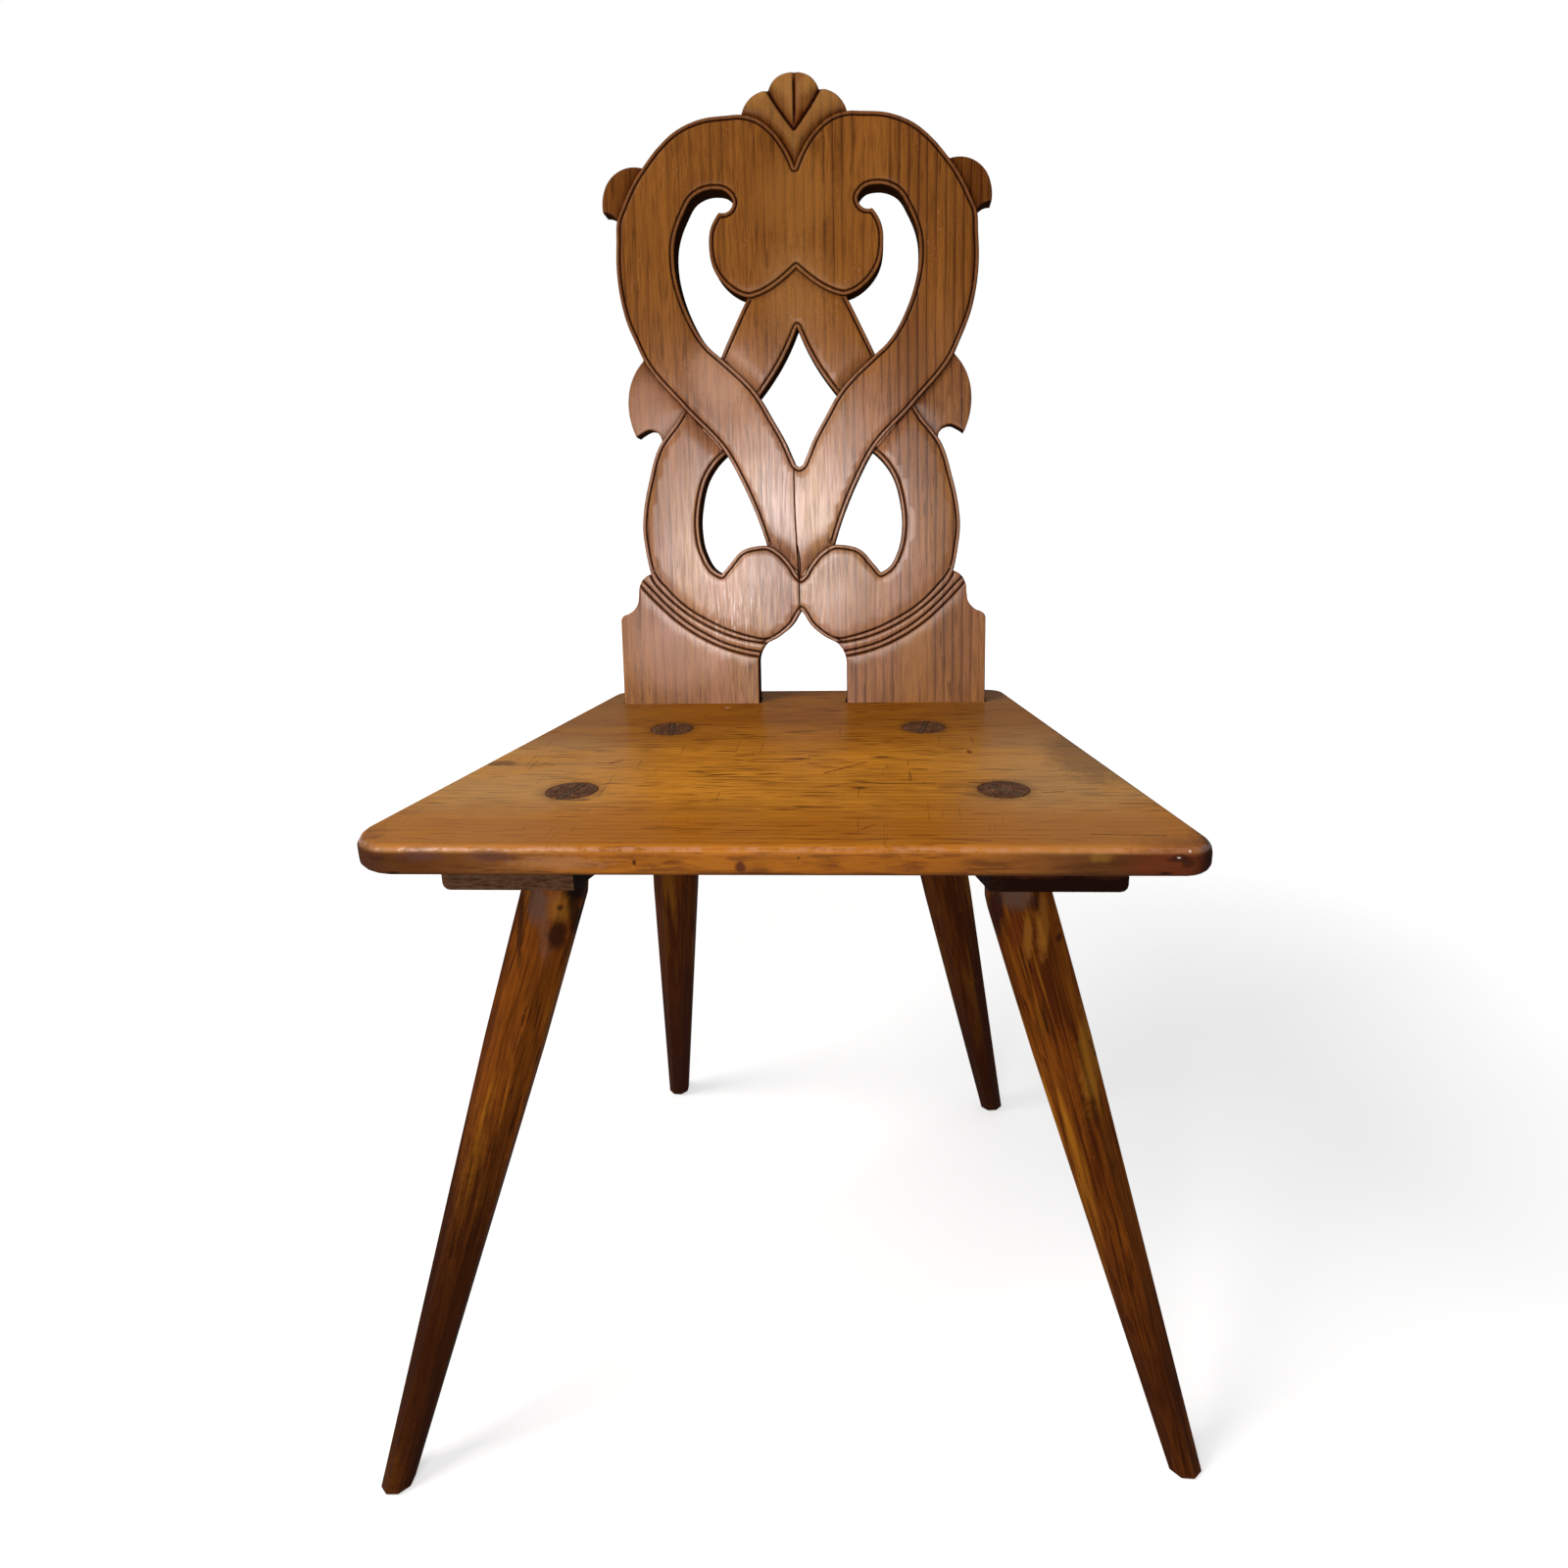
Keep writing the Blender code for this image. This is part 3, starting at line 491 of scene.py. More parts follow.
def tenon_centre(node: str) -> tuple:
    """Return x and y of the middle of a leg's tenon end in the seat."""
    top = SIZES.seat_top() - MM
    rim = np.array([vertex.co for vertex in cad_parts[node].data.vertices if vertex.co.z > top])
    return tuple(0.5 * (rim.min(axis=0) + rim.max(axis=0)))[:2]


@dataclass(frozen=True)
class BackFinish:
    """Waxed fruitwood of the carved back, with dirt kept in the carving, painted shade in its hollows and
    on its cut walls, and painted sheen and highlights on its face.
    """

    effects: SharedEffects
    wood: Wood = Wood((0.236, 0.085, 0.0135), (0.108, 0.032, 0.0045), (0.028, 0.0065, 0.002),
                      figure=0.58, pores=0.45)
    # Pink and honey tones of painted sheen, laid into the colour low on the board and where the wax shines.
    sheen_tone: tuple = (0.51, 0.250, 0.146)
    sheen_tone_dark: tuple = (0.33, 0.146, 0.084)
    honey: tuple = (0.48, 0.245, 0.088)
    glint: tuple = (0.85, 0.68, 0.62)
    dirt_and_shade: tuple = (0.022, 0.0045, 0.0025)
    # Painted highlight on the rounded rims, darker high on the board and paler low where the sheen falls.
    rim: tuple = (0.33, 0.160, 0.095)
    rim_above: tuple = (0.140, 0.052, 0.025)
    # Golden tone of the painted highlight on the crest.
    gold: tuple = (0.45, 0.225, 0.064)
    # Near black of the painted shade on the cut walls.
    edge: tuple = (0.020, 0.008, 0.004)
    shade: tuple = (0.36, 0.24, 0.24)
    roughness: float = 0.36
    coat_roughness: float = 0.23
    grain_depth: float = 0.00016

    def marks(self) -> tuple:
        """Return the paler and more golden places of the board's front; the pale pink ones are painted
        sheen.
        """
        deep = 0.016
        return (
            # The pale pink marks are painted sheen; the golden ones are a warmer tone of the wood.
            Mark((0.0078, 0.1150, 0.5980), (0.016, deep, 0.055), (0.47, 0.240, 0.080), 0.20, 0.8),
            Mark((-0.1050, 0.1010, 0.4800), (0.042, deep, 0.034), (0.50, 0.275, 0.190), 0.38, 0.6),
            Mark((-0.1180, 0.1240, 0.6680), (0.024, deep, 0.030), (0.46, 0.240, 0.155), 0.36, 0.6),
            Mark((-0.0025, 0.1350, 0.7500), (0.030, deep, 0.040), (0.40, 0.185, 0.055), 0.32, 0.6),
            Mark((0.0250, 0.1050, 0.5120), (0.030, deep, 0.028), (0.56, 0.320, 0.205), 0.32, 0.6),
            Mark((-0.0020, 0.1416, 0.8165), (0.032, deep, 0.034), (0.36, 0.150, 0.030), 0.30, 0.6),
            Mark((-0.0613, 0.1266, 0.6931), (0.026, deep, 0.030), (0.52, 0.290, 0.185), 0.40, 0.6),
        )

    def wax_and_sheen(self, g: Graph, where, vector) -> bpy.types.NodeSocket:
        """Return how much the wax shines, for the coat and for the sheen painted into the colour: most in
        the board's lower left, in hairs along the grain.
        """
        away = g.mapped(where, (8.4, 0.0, 6.8), (0.19, 0.0, -3.74))
        near = g.span(g.vectors("LENGTH", {0: away}, "Value"), 1.35, 0.25)
        hairs = g.noise(g.mapped(vector, (1.0, 1.0, 0.05), (1.4, 0.6, 2.0)), 520.0, 3.0, 0.7)
        patches = g.span(g.noise(vector, 13.0, 3.0), 0.32, 0.60, 0.45, 1.0)
        return g.times(near, g.times(patches, g.span(hairs, 0.38, 0.62, 0.45, 1.1)))

    def sheen_painted_wood(self, g: Graph, where, vector, low, wax_and_sheen) -> bpy.types.NodeOutputs:
        """Return the grain with painted sheen in pink and honey tones, paler low on the board and where the
        wax shines, with more growth lines on the right.
        """
        # Painted sheen: the colour turns paler low on the board and where the wax shines.
        pale = g.plus(g.times(low, 0.27), g.times(wax_and_sheen, 0.66), clamp=True)
        warmth = g.noise(g.mapped(vector, (1.0, 1.0, 0.4), (0.6, 2.3, 1.1)), 26.0, 3.0, 0.6)
        painted_sheen_tone = g.mix(g.span(warmth, 0.42, 0.60), self.sheen_tone, self.honey)
        wood = replace(self.wood, light=g.mix(pale, self.wood.light, painted_sheen_tone),
                       dark=g.mix(pale, self.wood.dark, self.sheen_tone_dark),
                       lines=g.span(g.part(where, "X"), -0.04, 0.05, 0.75, 1.45))
        return self.effects.grown(g, vector, wood)

    def pale_places(self, g: Graph, where, vector, colour) -> bpy.types.NodeSocket:
        """Lay the paler marks, the painted glints at the left foot and the painted golden highlight of the
        crest over a colour.
        """
        # Painted highlight: white glints in hairs near the left foot.
        painted_glint_spot = Mark((-0.0520, 0.1044, 0.5080), (0.026, 0.012, 0.024), self.glint, 1.0, 0.8)
        hairs = g.noise(g.mapped(vector, (1.0, 1.0, 0.08), (0.9, 0.1, 0.3)), 640.0, 2.0, 0.7)
        glints = g.times(self.effects.mask(g, where, painted_glint_spot), g.span(hairs, 0.54, 0.66, 0.0, 0.75))
        # Painted highlight: the crest turns golden where it is not shaded.
        crest_highlight = g.times(g.attribute("carving", "Alpha"), 0.8)
        return g.layers(self.effects.marked(g, where, colour, self.marks()), (glints, self.glint),
                        (crest_highlight, g.mix(0.35, self.gold, colour)))

    def build(self) -> bpy.types.Material:
        """Return the finished material."""
        material, g, shader = start_material("waxed_back_wood")
        where = g.where()
        vector = g.mapped(where, rotation=(SIZES.recline, 0.0, 0.0))
        low = g.span(g.part(where, "Z"), 0.78, 0.58)
        wax_and_sheen = self.wax_and_sheen(g, where, vector)
        grain = self.sheen_painted_wood(g, where, vector, low, wax_and_sheen)
        wear = self.effects.used(g, vector, 4.0, 0.35)
        colour = self.pale_places(g, where, vector, grain["Color"])
        # The carving attribute holds dirt with painted shade, painted rim highlight and painted shade, and
        # painted golden highlight in its alpha.
        carving = g.node("SeparateColor", {"Color": g.attribute("carving", "Color")}).outputs
        ragged = g.noise(vector, 240.0, 3.0, 0.6)
        dirt_and_shade = g.times(carving["Red"], g.span(ragged, 0.2, 0.6, 0.80, 1.0), clamp=True)
        # Painted highlight on the rounded rims.
        rim = g.times(carving["Green"], g.span(ragged, 0.25, 0.7, 0.25, 0.8))
        shade = g.times(carving["Blue"], 0.85, clamp=True)
        # Painted shade: the cut walls, which do not face the front, are laid near black.
        outward = Vector((0.0, -math.cos(SIZES.recline), math.sin(SIZES.recline)))
        facing = g.vectors("DOT_PRODUCT", {0: g.normal(), 1: outward}, "Value")
        cut_face = g.span(g.math("ABSOLUTE", facing), 0.66, 0.25)
        colour = g.mix(rim, colour, g.mix(low, self.rim_above, self.rim))
        colour = g.mix(shade, colour, g.mix(1.0, colour, self.shade, "MULTIPLY"))
        colour = g.layers(colour, (g.times(wear["Stain"], 0.6), self.wood.pore),
                          (g.times(wear["Scratch"], 0.22), self.sheen_tone), (dirt_and_shade, self.dirt_and_shade),
                          (g.times(cut_face, 0.9), self.edge))
        dull = g.math("MAXIMUM", dirt_and_shade, cut_face)
        rough = g.plus(g.times(wear["Blotch"], 0.10), self.roughness, g.times(grain["Tone"], 0.06),
                       g.times(dull, 0.35))
        wax = g.plus(g.times(wax_and_sheen, 0.62), g.times(low, 0.22), 0.10)
        bare = g.math("SUBTRACT", 1.0, g.math("MAXIMUM", dull, shade))
        g.feed(shader, {"Base Color": colour, "Roughness": rough, "Specular IOR Level": 0.0,
                        "Coat Weight": g.times(bare, wax, clamp=True),
                        "Coat Roughness": self.coat_roughness,
                        "Normal": g.bump(grain["Height"], self.grain_depth)})
        return material


@dataclass(frozen=True)
class SeatFinish:
    """Honey-coloured seat wood with its grain from left to right, worn by long use, with painted shade
    underneath and towards the back and painted sheen on its sides and front arris.
    """

    effects: SharedEffects
    wood: Wood = Wood((0.61, 0.240, 0.0245), (0.30, 0.098, 0.0090), (0.070, 0.018, 0.004),
                      figure=0.48, lines=0.85, pores=1.0)
    front: tuple = (0.205, 0.056, 0.0085)
    bruised: tuple = (0.105, 0.032, 0.010)
    # Paler, greyer tone of the seat's sides: dust and painted sheen.
    dust_and_sheen: tuple = (0.43, 0.275, 0.125)
    ends: tuple = (0.040, 0.0085, 0.0028)
    # Tone of the painted shade towards the back of the seat.
    rear: tuple = (0.150, 0.040, 0.0035)
    # Paler tone of the front arris: wear and painted highlight.
    worn: tuple = (0.44, 0.175, 0.060)
    # Lighter tone towards the front of the seat top.
    lighter_front: tuple = (0.365, 0.112, 0.0078)
    # Grime of the tenon rings and scratches, and painted shade on the underside.
    grime_and_shade: tuple = (0.060, 0.024, 0.010)
    roughness: float = 0.36
    coat_roughness: float = 0.25
    grain_depth: float = 0.0002

    def marks(self) -> tuple:
        """Return the stains, bruises and scratches that the long use has left."""
        top = SIZES.seat_top()
        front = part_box("seat_board")[0].y
        red, black, pale = (0.130, 0.025, 0.010), (0.018, 0.007, 0.005), (0.46, 0.24, 0.12)
        purple = (0.085, 0.036, 0.030)
        rings = [Mark((*tenon_centre(node), top), (0.0205, 0.0205, 0.01), self.grime_and_shade, 0.62, 0.55)
                 for node in LEGS]
        return (
            *rings,
            Mark((-0.1876, front, 0.4350), (0.013, 0.008, 0.004), purple, 0.55, 1.6),
            Mark((-0.1491, front, 0.4345), (0.014, 0.008, 0.004), purple, 0.50, 1.6),
            Mark((-0.2140, front, 0.4330), (0.010, 0.008, 0.0014), black, 0.60, 1.6),
            Mark((-0.2032, front, 0.4250), (0.0040, 0.006, 0.0010), black, 0.85, 1.2),
            Mark((-0.230, front + 0.01, 0.4300), (0.026, 0.03, 0.013), (0.045, 0.016, 0.010), 0.7, 0.9),
            Mark((-0.2225, front + 0.004, 0.4385), (0.0030, 0.005, 0.0012), pale, 0.5, 1.2),
            Mark((0.2190, front, 0.4300), (0.034, 0.02, 0.018), red, 0.52, 0.8),
            Mark((0.2330, front + 0.012, 0.4290), (0.013, 0.03, 0.014), black, 0.88, 0.7),
            Mark((0.2132, front, 0.4341), (0.0060, 0.005, 0.0022), black, 0.75, 1.6),
            Mark((0.2180, front, 0.4310), (0.0040, 0.005, 0.0024), black, 0.65, 1.6),
            Mark((0.2068, front, 0.4256), (0.0040, 0.006, 0.0012), black, 0.85, 1.2),
            Mark((0.2125, front, 0.4345), (0.0012, 0.003, 0.0005), (0.7, 0.62, 0.55), 0.8, 1.4),
            Mark((0.2185, front + 0.002, 0.4375), (0.0008, 0.003, 0.0006), (0.7, 0.62, 0.55), 0.8, 1.4),
            Mark((0.1730, front, 0.4345), (0.0065, 0.006, 0.0030), (0.34, 0.17, 0.030), 0.3, 1.3),
            Mark((0.1957, front, 0.4285), (0.0034, 0.004, 0.0026), red, 0.6, 1.0),
            Mark((-0.0152, front, 0.4289), (0.0030, 0.004, 0.0038), (0.075, 0.020, 0.010), 0.9, 1.2),
            Mark((-0.0715, front, 0.4313), (0.0010, 0.003, 0.0017), black, 0.85, 0.7),
            Mark((0.0160, front, 0.4340), (0.0010, 0.003, 0.0011), black, 0.6, 0.8),
            Mark((-0.1110, front, 0.4310), (0.028, 0.004, 0.004), (0.33, 0.16, 0.075), 0.4, 1.6),
            Mark((-0.1935, -0.0600, top), (0.014, 0.006, 0.004), (0.085, 0.032, 0.010), 0.60, 1.8),
            Mark((0.1190, -0.0375, top), (0.0022, 0.0050, 0.004), red, 0.75, 1.2),
            Mark((0.1960, -0.0450, top), (0.030, 0.060, 0.004), (0.15, 0.078, 0.034), 0.62, 1.2),
            Mark((-0.0612, 0.0826, top), (0.0024, 0.0012, 0.004), (0.66, 0.50, 0.33), 0.7, 1.2),
            Scratch((0.0241, -0.0820, top), (0.0494, -0.0605, top), 0.0017, (0.13, 0.024, 0.008), 0.9),
            Scratch((0.0250, -0.0480, top), (0.0500, -0.0690, top), 0.0008, (0.12, 0.030, 0.010), 0.5),
            Scratch((-0.1198, -0.0611, top), (-0.1126, -0.0540, top), 0.0018, black, 0.8),
            Scratch((-0.1290, -0.0595, top), (-0.1180, -0.0600, top), 0.0010, black, 0.7),
            Scratch((-0.1640, -0.0610, top), (-0.1560, -0.0650, top), 0.0013, black, 0.7),
            Scratch((0.0490, -0.1800, top), (0.0560, -0.1730, top), 0.0011, black, 0.7),
            Scratch((0.1560, -0.1200, top), (0.1690, -0.1180, top), 0.0013, black, 0.75),
            Scratch((0.1720, -0.1870, top), (0.2100, -0.1890, top), 0.0012, black, 0.6),
            Scratch((0.0190, -0.1120, top), (0.0500, -0.0970, top), 0.0009, (0.10, 0.03, 0.01), 0.6),
        )

    def front_face(self, g: Graph, where, outward, colour) -> bpy.types.NodeSocket:
        """Return the tone of the plank's edges: redder, bruised in long smears, dark at the ends."""
        smears = g.noise(g.mapped(where, (0.16, 1.0, 1.0), (1.3, 0.2, 0.7)), 210.0, 4.0, 0.62)
        return g.layers(colour, (0.72, self.front), (g.span(smears, 0.44, 0.66, 0.0, 0.8), self.bruised),
                        (g.span(outward, 0.08, 0.195, 0.0, 0.88), self.ends))

    def build(self) -> bpy.types.Material:
        """Return the finished material."""
        material, g, shader = start_material("honey_seat_wood")
        where = g.where()
        turned = g.mapped(where, location=(-0.72, 0.25, 0.0), rotation=(0.0, math.radians(90.0), 0.0))
        grain = self.effects.grown(g, turned, self.wood)
        wear = self.effects.used(g, where, 1.5, 0.5)
        facing = g.part(g.normal(), "Z")
        side = g.span(facing, 0.75, 0.25)
        outward = g.math("ABSOLUTE", g.part(where, "X"))
        depth = g.part(where, "Y")
        clouds = g.span(g.noise(where, 17.0, 3.0), 0.3, 0.6, 0.25, 0.50)
        cloudy = g.times(g.noise(where, 24.0, 3.0, 0.6), 0.045)
        ahead = g.span(g.math("SUBTRACT", depth, cloudy), -0.145, -0.195, 0.0, 0.62)
        # The front arris turns paler in ragged patches: wear and painted highlight.
        arris = g.times(g.span(facing, 0.42, 0.60), g.span(facing, 0.91, 0.76))
        rubbed_and_lit = g.times(arris, g.span(g.noise(where, 150.0, 4.0, 0.7), 0.40, 0.60, 0.10, 0.80))
        colour = g.layers(grain["Color"], (g.times(wear["Stain"], 0.5), self.wood.pore),
                          (g.times(wear["Scratch"], 0.4), self.grime_and_shade),
                          # Paler, greyer sides: dust and painted sheen.
                          (g.times(g.span(outward, 0.07, 0.16), clouds), self.dust_and_sheen))
        colour = g.layers(colour, (g.times(side, 0.95), self.front_face(g, where, outward, colour)),
                          (g.times(ahead, g.span(facing, 0.35, 0.75)), self.lighter_front),
                          # Painted shade: faces turned downwards take the grime tone.
                          (rubbed_and_lit, self.worn), (g.times(g.span(facing, -0.25, -0.75), 0.75), self.grime_and_shade))
        # Painted shade: the seat top darker towards the back, below the carved back.
        behind = g.times(g.span(depth, -0.06, 0.05), 0.88)
        colour = g.mix(behind, colour, g.mix(0.3, self.rear, colour))
        colour = self.effects.marked(g, where, colour, self.marks())
        height = g.math("SUBTRACT", grain["Height"], wear["Scratch"])
        g.feed(shader, {"Base Color": colour, "Specular IOR Level": 0.0,
                        "Roughness": g.plus(g.times(wear["Blotch"], 0.14), self.roughness),
                        "Coat Weight": g.plus(g.times(side, -0.07), 0.09, g.times(rubbed_and_lit, 0.9)),
                        "Coat Roughness": self.coat_roughness,
                        "Normal": g.bump(height, self.grain_depth)})
        return material


@dataclass(frozen=True)
class LegFinish:
    """Polished leg wood, golden at the top and darker towards the foot."""

    effects: SharedEffects
    wood: Wood = Wood((0.190, 0.051, 0.0045), (0.042, 0.0078, 0.0011), (0.011, 0.0025, 0.0007),
                      figure=0.92, lines=0.8, pores=0.7)
    foot: tuple = (0.028, 0.0052, 0.0013)
    gold: tuple = (0.34, 0.122, 0.0085)
    roughness: float = 0.33
    coat: float = 0.035
    coat_roughness: float = 0.25
    grain_depth: float = 0.0002

    def marks(self) -> tuple:
        """Return the scuffs and stains at the tops of the front legs and below, and painted shade on the
        front legs' inner sides under the battens.
        """
        grey, black, gold = (0.100, 0.055, 0.038), (0.006, 0.003, 0.002), (0.25, 0.092, 0.012)
        dark, red = (0.026, 0.0070, 0.003), (0.110, 0.022, 0.004)
        return (
            Mark((-0.1471, -0.1482, 0.3793), (0.0075, 0.02, 0.013), grey, 0.80, 1.3),
            Mark((-0.1430, -0.1500, 0.3610), (0.0040, 0.02, 0.020), (0.15, 0.060, 0.030), 0.55, 1.5),
            Mark((-0.1335, -0.1466, 0.3758), (0.0075, 0.02, 0.0110), gold, 0.85, 1.0),
            Mark((-0.1337, -0.1470, 0.3765), (0.0018, 0.01, 0.0022), dark, 0.8, 0.9),
            Mark((-0.1367, -0.1486, 0.3590), (0.0058, 0.02, 0.0110), dark, 0.90, 1.0),
            # Painted shade: black on the inner side of the front left leg, below the batten.
            Mark((-0.1228, -0.1440, 0.3850), (0.0090, 0.03, 0.0100), black, 0.95, 0.6),
            Mark((-0.1275, -0.1400, 0.3640), (0.0035, 0.03, 0.028), black, 0.80, 0.9),
            Mark((-0.1590, -0.1450, 0.3640), (0.0028, 0.02, 0.030), dark, 0.75, 0.9),
            Mark((0.1388, -0.1437, 0.3825), (0.0120, 0.02, 0.0085), grey, 0.80, 1.5),
            Mark((0.1500, -0.1437, 0.3790), (0.0050, 0.02, 0.0060), dark, 0.75, 1.5),
            # Painted shade: dark on the inner side of the front right leg, under the seat.
            Mark((0.1275, -0.1375, 0.3700), (0.0052, 0.03, 0.020), (0.020, 0.006, 0.006), 0.85, 0.9),
            Mark((0.1551, -0.1432, 0.3660), (0.0042, 0.02, 0.022), gold, 0.80, 1.2),
            Mark((0.1460, -0.1466, 0.3600), (0.0030, 0.02, 0.016), gold, 0.65, 1.2),
            Mark((0.1390, -0.1455, 0.3640), (0.0045, 0.02, 0.014), red, 0.70, 1.2),
            Mark((0.1656, -0.1404, 0.3551), (0.0022, 0.01, 0.0026), (0.04, 0.008, 0.004), 0.9, 0.8),
            Mark((0.1850, -0.1500, 0.2850), (0.0080, 0.02, 0.045), (0.27, 0.110, 0.012), 0.5, 1.4),
            Mark((-0.2200, -0.1700, 0.0700), (0.080, 0.08, 0.200), (0.016, 0.0034, 0.0010), 0.70, 0.7),
            Scratch((0.1855, -0.1490, 0.2905), (0.1905, -0.1490, 0.2790), 0.0013, black, 0.8),
            Scratch((0.1905, -0.1490, 0.2860), (0.1865, -0.1490, 0.2750), 0.0012, black, 0.8),
            Scratch((0.1875, -0.1500, 0.2720), (0.1945, -0.1480, 0.2670), 0.0012, black, 0.8),
            Scratch((0.1915, -0.1480, 0.2820), (0.1955, -0.1470, 0.2690), 0.0011, black, 0.7),
        )

    def build(self) -> bpy.types.Material:
        """Return the finished material."""
        material, g, shader = start_material("polished_leg_wood")
        where = g.where()
        height = g.part(where, "Z")
        vector = g.attribute("along_leg", "Vector")
        grain = self.effects.grown(g, vector, self.wood)
        wear = self.effects.used(g, vector, 2.5, 0.8)
        streak = g.noise(g.mapped(vector, (1.0, 1.0, 0.06), (0.4, 0.9, 0.1)), 95.0, 3.0, 0.6)
        golden = g.times(g.span(streak, 0.52, 0.68), g.span(height, 0.05, 0.30, 0.25, 0.8))
        colour = g.layers(grain["Color"], (golden, self.gold),
                          (g.times(g.span(height, 0.30, 0.04), 0.62), self.foot),
                          # Painted shade: the rear legs, behind the seat, turn to the dark foot tone.
                          (g.times(g.span(g.part(where, "Y"), 0.0, 0.03), 0.6), self.foot),
                          (g.times(wear["Stain"], 0.75), self.wood.pore),
                          (g.times(wear["Scratch"], 0.15), self.gold))
        colour = self.effects.marked(g, where, colour, self.marks())
        g.feed(shader, {"Base Color": colour, "Specular IOR Level": 0.0,
                        "Roughness": g.plus(g.times(wear["Blotch"], 0.18), self.roughness),
                        "Coat Weight": self.coat, "Coat Roughness": self.coat_roughness,
                        "Normal": g.bump(grain["Height"], self.grain_depth)})
        return material


@dataclass(frozen=True)
class TenonEndFinish:
    """The dark cut end of a leg's tenon in the seat."""

    effects: SharedEffects
    light: tuple = (0.225, 0.105, 0.050)
    dark: tuple = (0.052, 0.019, 0.009)
    roughness: float = 0.6
    pore_depth: float = 0.0003

    def build(self) -> bpy.types.Material:
        """Return the finished material."""
        material, g, shader = start_material("tenon_end_wood")
        cut = g.group(self.effects.end_grain, {"Vector": g.where(), "Light": self.light,
                                               "Dark": self.dark}).outputs
        g.feed(shader, {"Base Color": cut["Color"], "Roughness": self.roughness,
                        "Specular IOR Level": DULL_GLOSS,
                        "Normal": g.bump(cut["Height"], self.pore_depth)})
        return material


@dataclass(frozen=True)
class DullFinish:
    """Dull, unpolished wood with its grain along one axis, darker and greyer on its cut ends, with painted
    shade on its sides where a side tone is given.
    """

    effects: SharedEffects
    name: str
    wood: Wood
    end: tuple
    grain_turn: tuple
    end_axis: str
    # Tone of the painted shade on sides that face left and right.
    side: tuple = ()
    marks: tuple = ()
    roughness: float = 0.62
    grain_depth: float = 0.0002

    def build(self) -> bpy.types.Material:
        """Return the finished material."""
        material, g, shader = start_material(self.name)
        where = g.where()
        grain = self.effects.grown(g, g.mapped(where, rotation=self.grain_turn), self.wood)
        across = g.noise(g.mapped(where, (0.22, 1.0, 1.0)), 520.0, 4.0, 0.72)
        end = g.mix(g.span(across, 0.36, 0.68, 0.0, 0.75), self.end, self.wood.pore)
        is_end = g.span(g.math("ABSOLUTE", g.part(g.normal(), self.end_axis)), 0.5, 0.75)
        colour = g.mix(is_end, grain["Color"], end)
        # Painted shade: sides that face left and right turn to the side tone.
        if self.side:
            painted_shade_side = g.span(g.math("ABSOLUTE", g.part(g.normal(), "X")), 0.45, 0.7)
            colour = g.mix(painted_shade_side, colour, self.side)
        colour = self.effects.marked(g, where, colour, self.marks)
        g.feed(shader, {"Base Color": colour, "Roughness": self.roughness,
                        "Specular IOR Level": DULL_GLOSS,
                        "Normal": g.bump(grain["Height"], self.grain_depth)})
        return material


# The drawing of the carved back: millimetres from its centre line and above the seat, right half

FOOT_OUTER = 144.3
FOOT_INNER = 35.1
TENON_WIDTH = 44.0

SHOULDER = ((FOOT_OUTER, 67), (142.6, 70.2), (138, 72.2), (133.5, 75.5), (130.6, 79.5), (129.4, 86),
            (128.6, 93), (125.3, 99.4), (119, 103.2))
RING_OUTER = ((119, 103.2), (122.4, 121), (124, 138), (122, 156), (117.8, 174), (106.8, 204))
LEAF_SCALLOP = ((106.8, 204), (109.3, 211), (116, 213.7), (122, 211.3), (126.5, 208.3))
LEAF_OUTER = ((126.5, 208.3), (130.3, 219), (131.9, 233), (129.5, 248), (118.5, 265.7))
HEART_OUTER = ((118.5, 265.7), (123.8, 277.5), (130, 292.5), (134.4, 311), (136.3, 331), (135.6, 351),
               (134.4, 366))
EAR_SCALLOP = ((134.4, 366), (139, 371.2), (145.3, 372.6))
EAR_OUTER = ((145.3, 372.6), (145.3, 382), (140, 395), (129.7, 402.5), (113.5, 403))
HEART_TOP = ((113.5, 403), (103, 415.2), (88, 427.4), (69, 434.8), (50, 436.6), (39.3, 436.9))
CREST_SIDE = ((39.3, 436.9), (36, 444), (28.5, 450.6), (18.6, 452.4))
CREST_TOP = ((18.6, 452.4), (13.4, 460.5), (5.3, 464.2), (0, 464.7))
ARCH = ((FOOT_INNER, 30), (34.4, 37), (29.5, 46), (18, 52.7), (6.6, 62.7), (2.4, 69.6), (0, 73.2))
SPADE_SIDE = ((37.5, 308.8), (40.5, 309.6), (53.5, 317.5), (62.5, 330), (65.4, 345), (64.2, 358),
              (57.2, 369.8))
SCROLL = ((57.2, 369.8), (50, 370.6), (46.7, 376), (51, 383.3), (61, 385.8), (75.5, 381.2),
          (84, 368.8), (90.9, 350.6), (91.8, 333), (88.5, 314.5), (82, 296.5), (72.9, 280),
          (66.3, 272.2), (59, 265.9))
STRAP_BELOW = ((59, 265.9), (30, 236.8))
LAMBDA_OUTER = ((59, 265.9), (37.5, 308.8))
DIAMOND_UPPER = ((0, 286.4), (2.7, 280), (10.7, 264), (22, 246.9), (30, 236.8))
DIAMOND_LOWER = ((30, 236.8), (21, 221.5), (10.6, 203), (5, 190), (2.6, 185.2), (0, 183.6))
LOBE_TOP = ((26.5, 124.2), (33.5, 124), (46, 120.6), (56.5, 109.7), (62.6, 102.4))
RING_INNER = ((62.6, 102.4), (67.7, 105.2), (76, 118.8), (79.3, 137.5), (77.7, 157), (71.5, 177),
              (56.6, 194.5))
HEART_POINT = ((56.6, 194.5), (45, 172.8), (34.7, 149), (26.5, 124.2))
EAR_EDGE = ((134.4, 366), (129.9, 376.2), (124.4, 387.2), (118.3, 396.9), (113.5, 403))
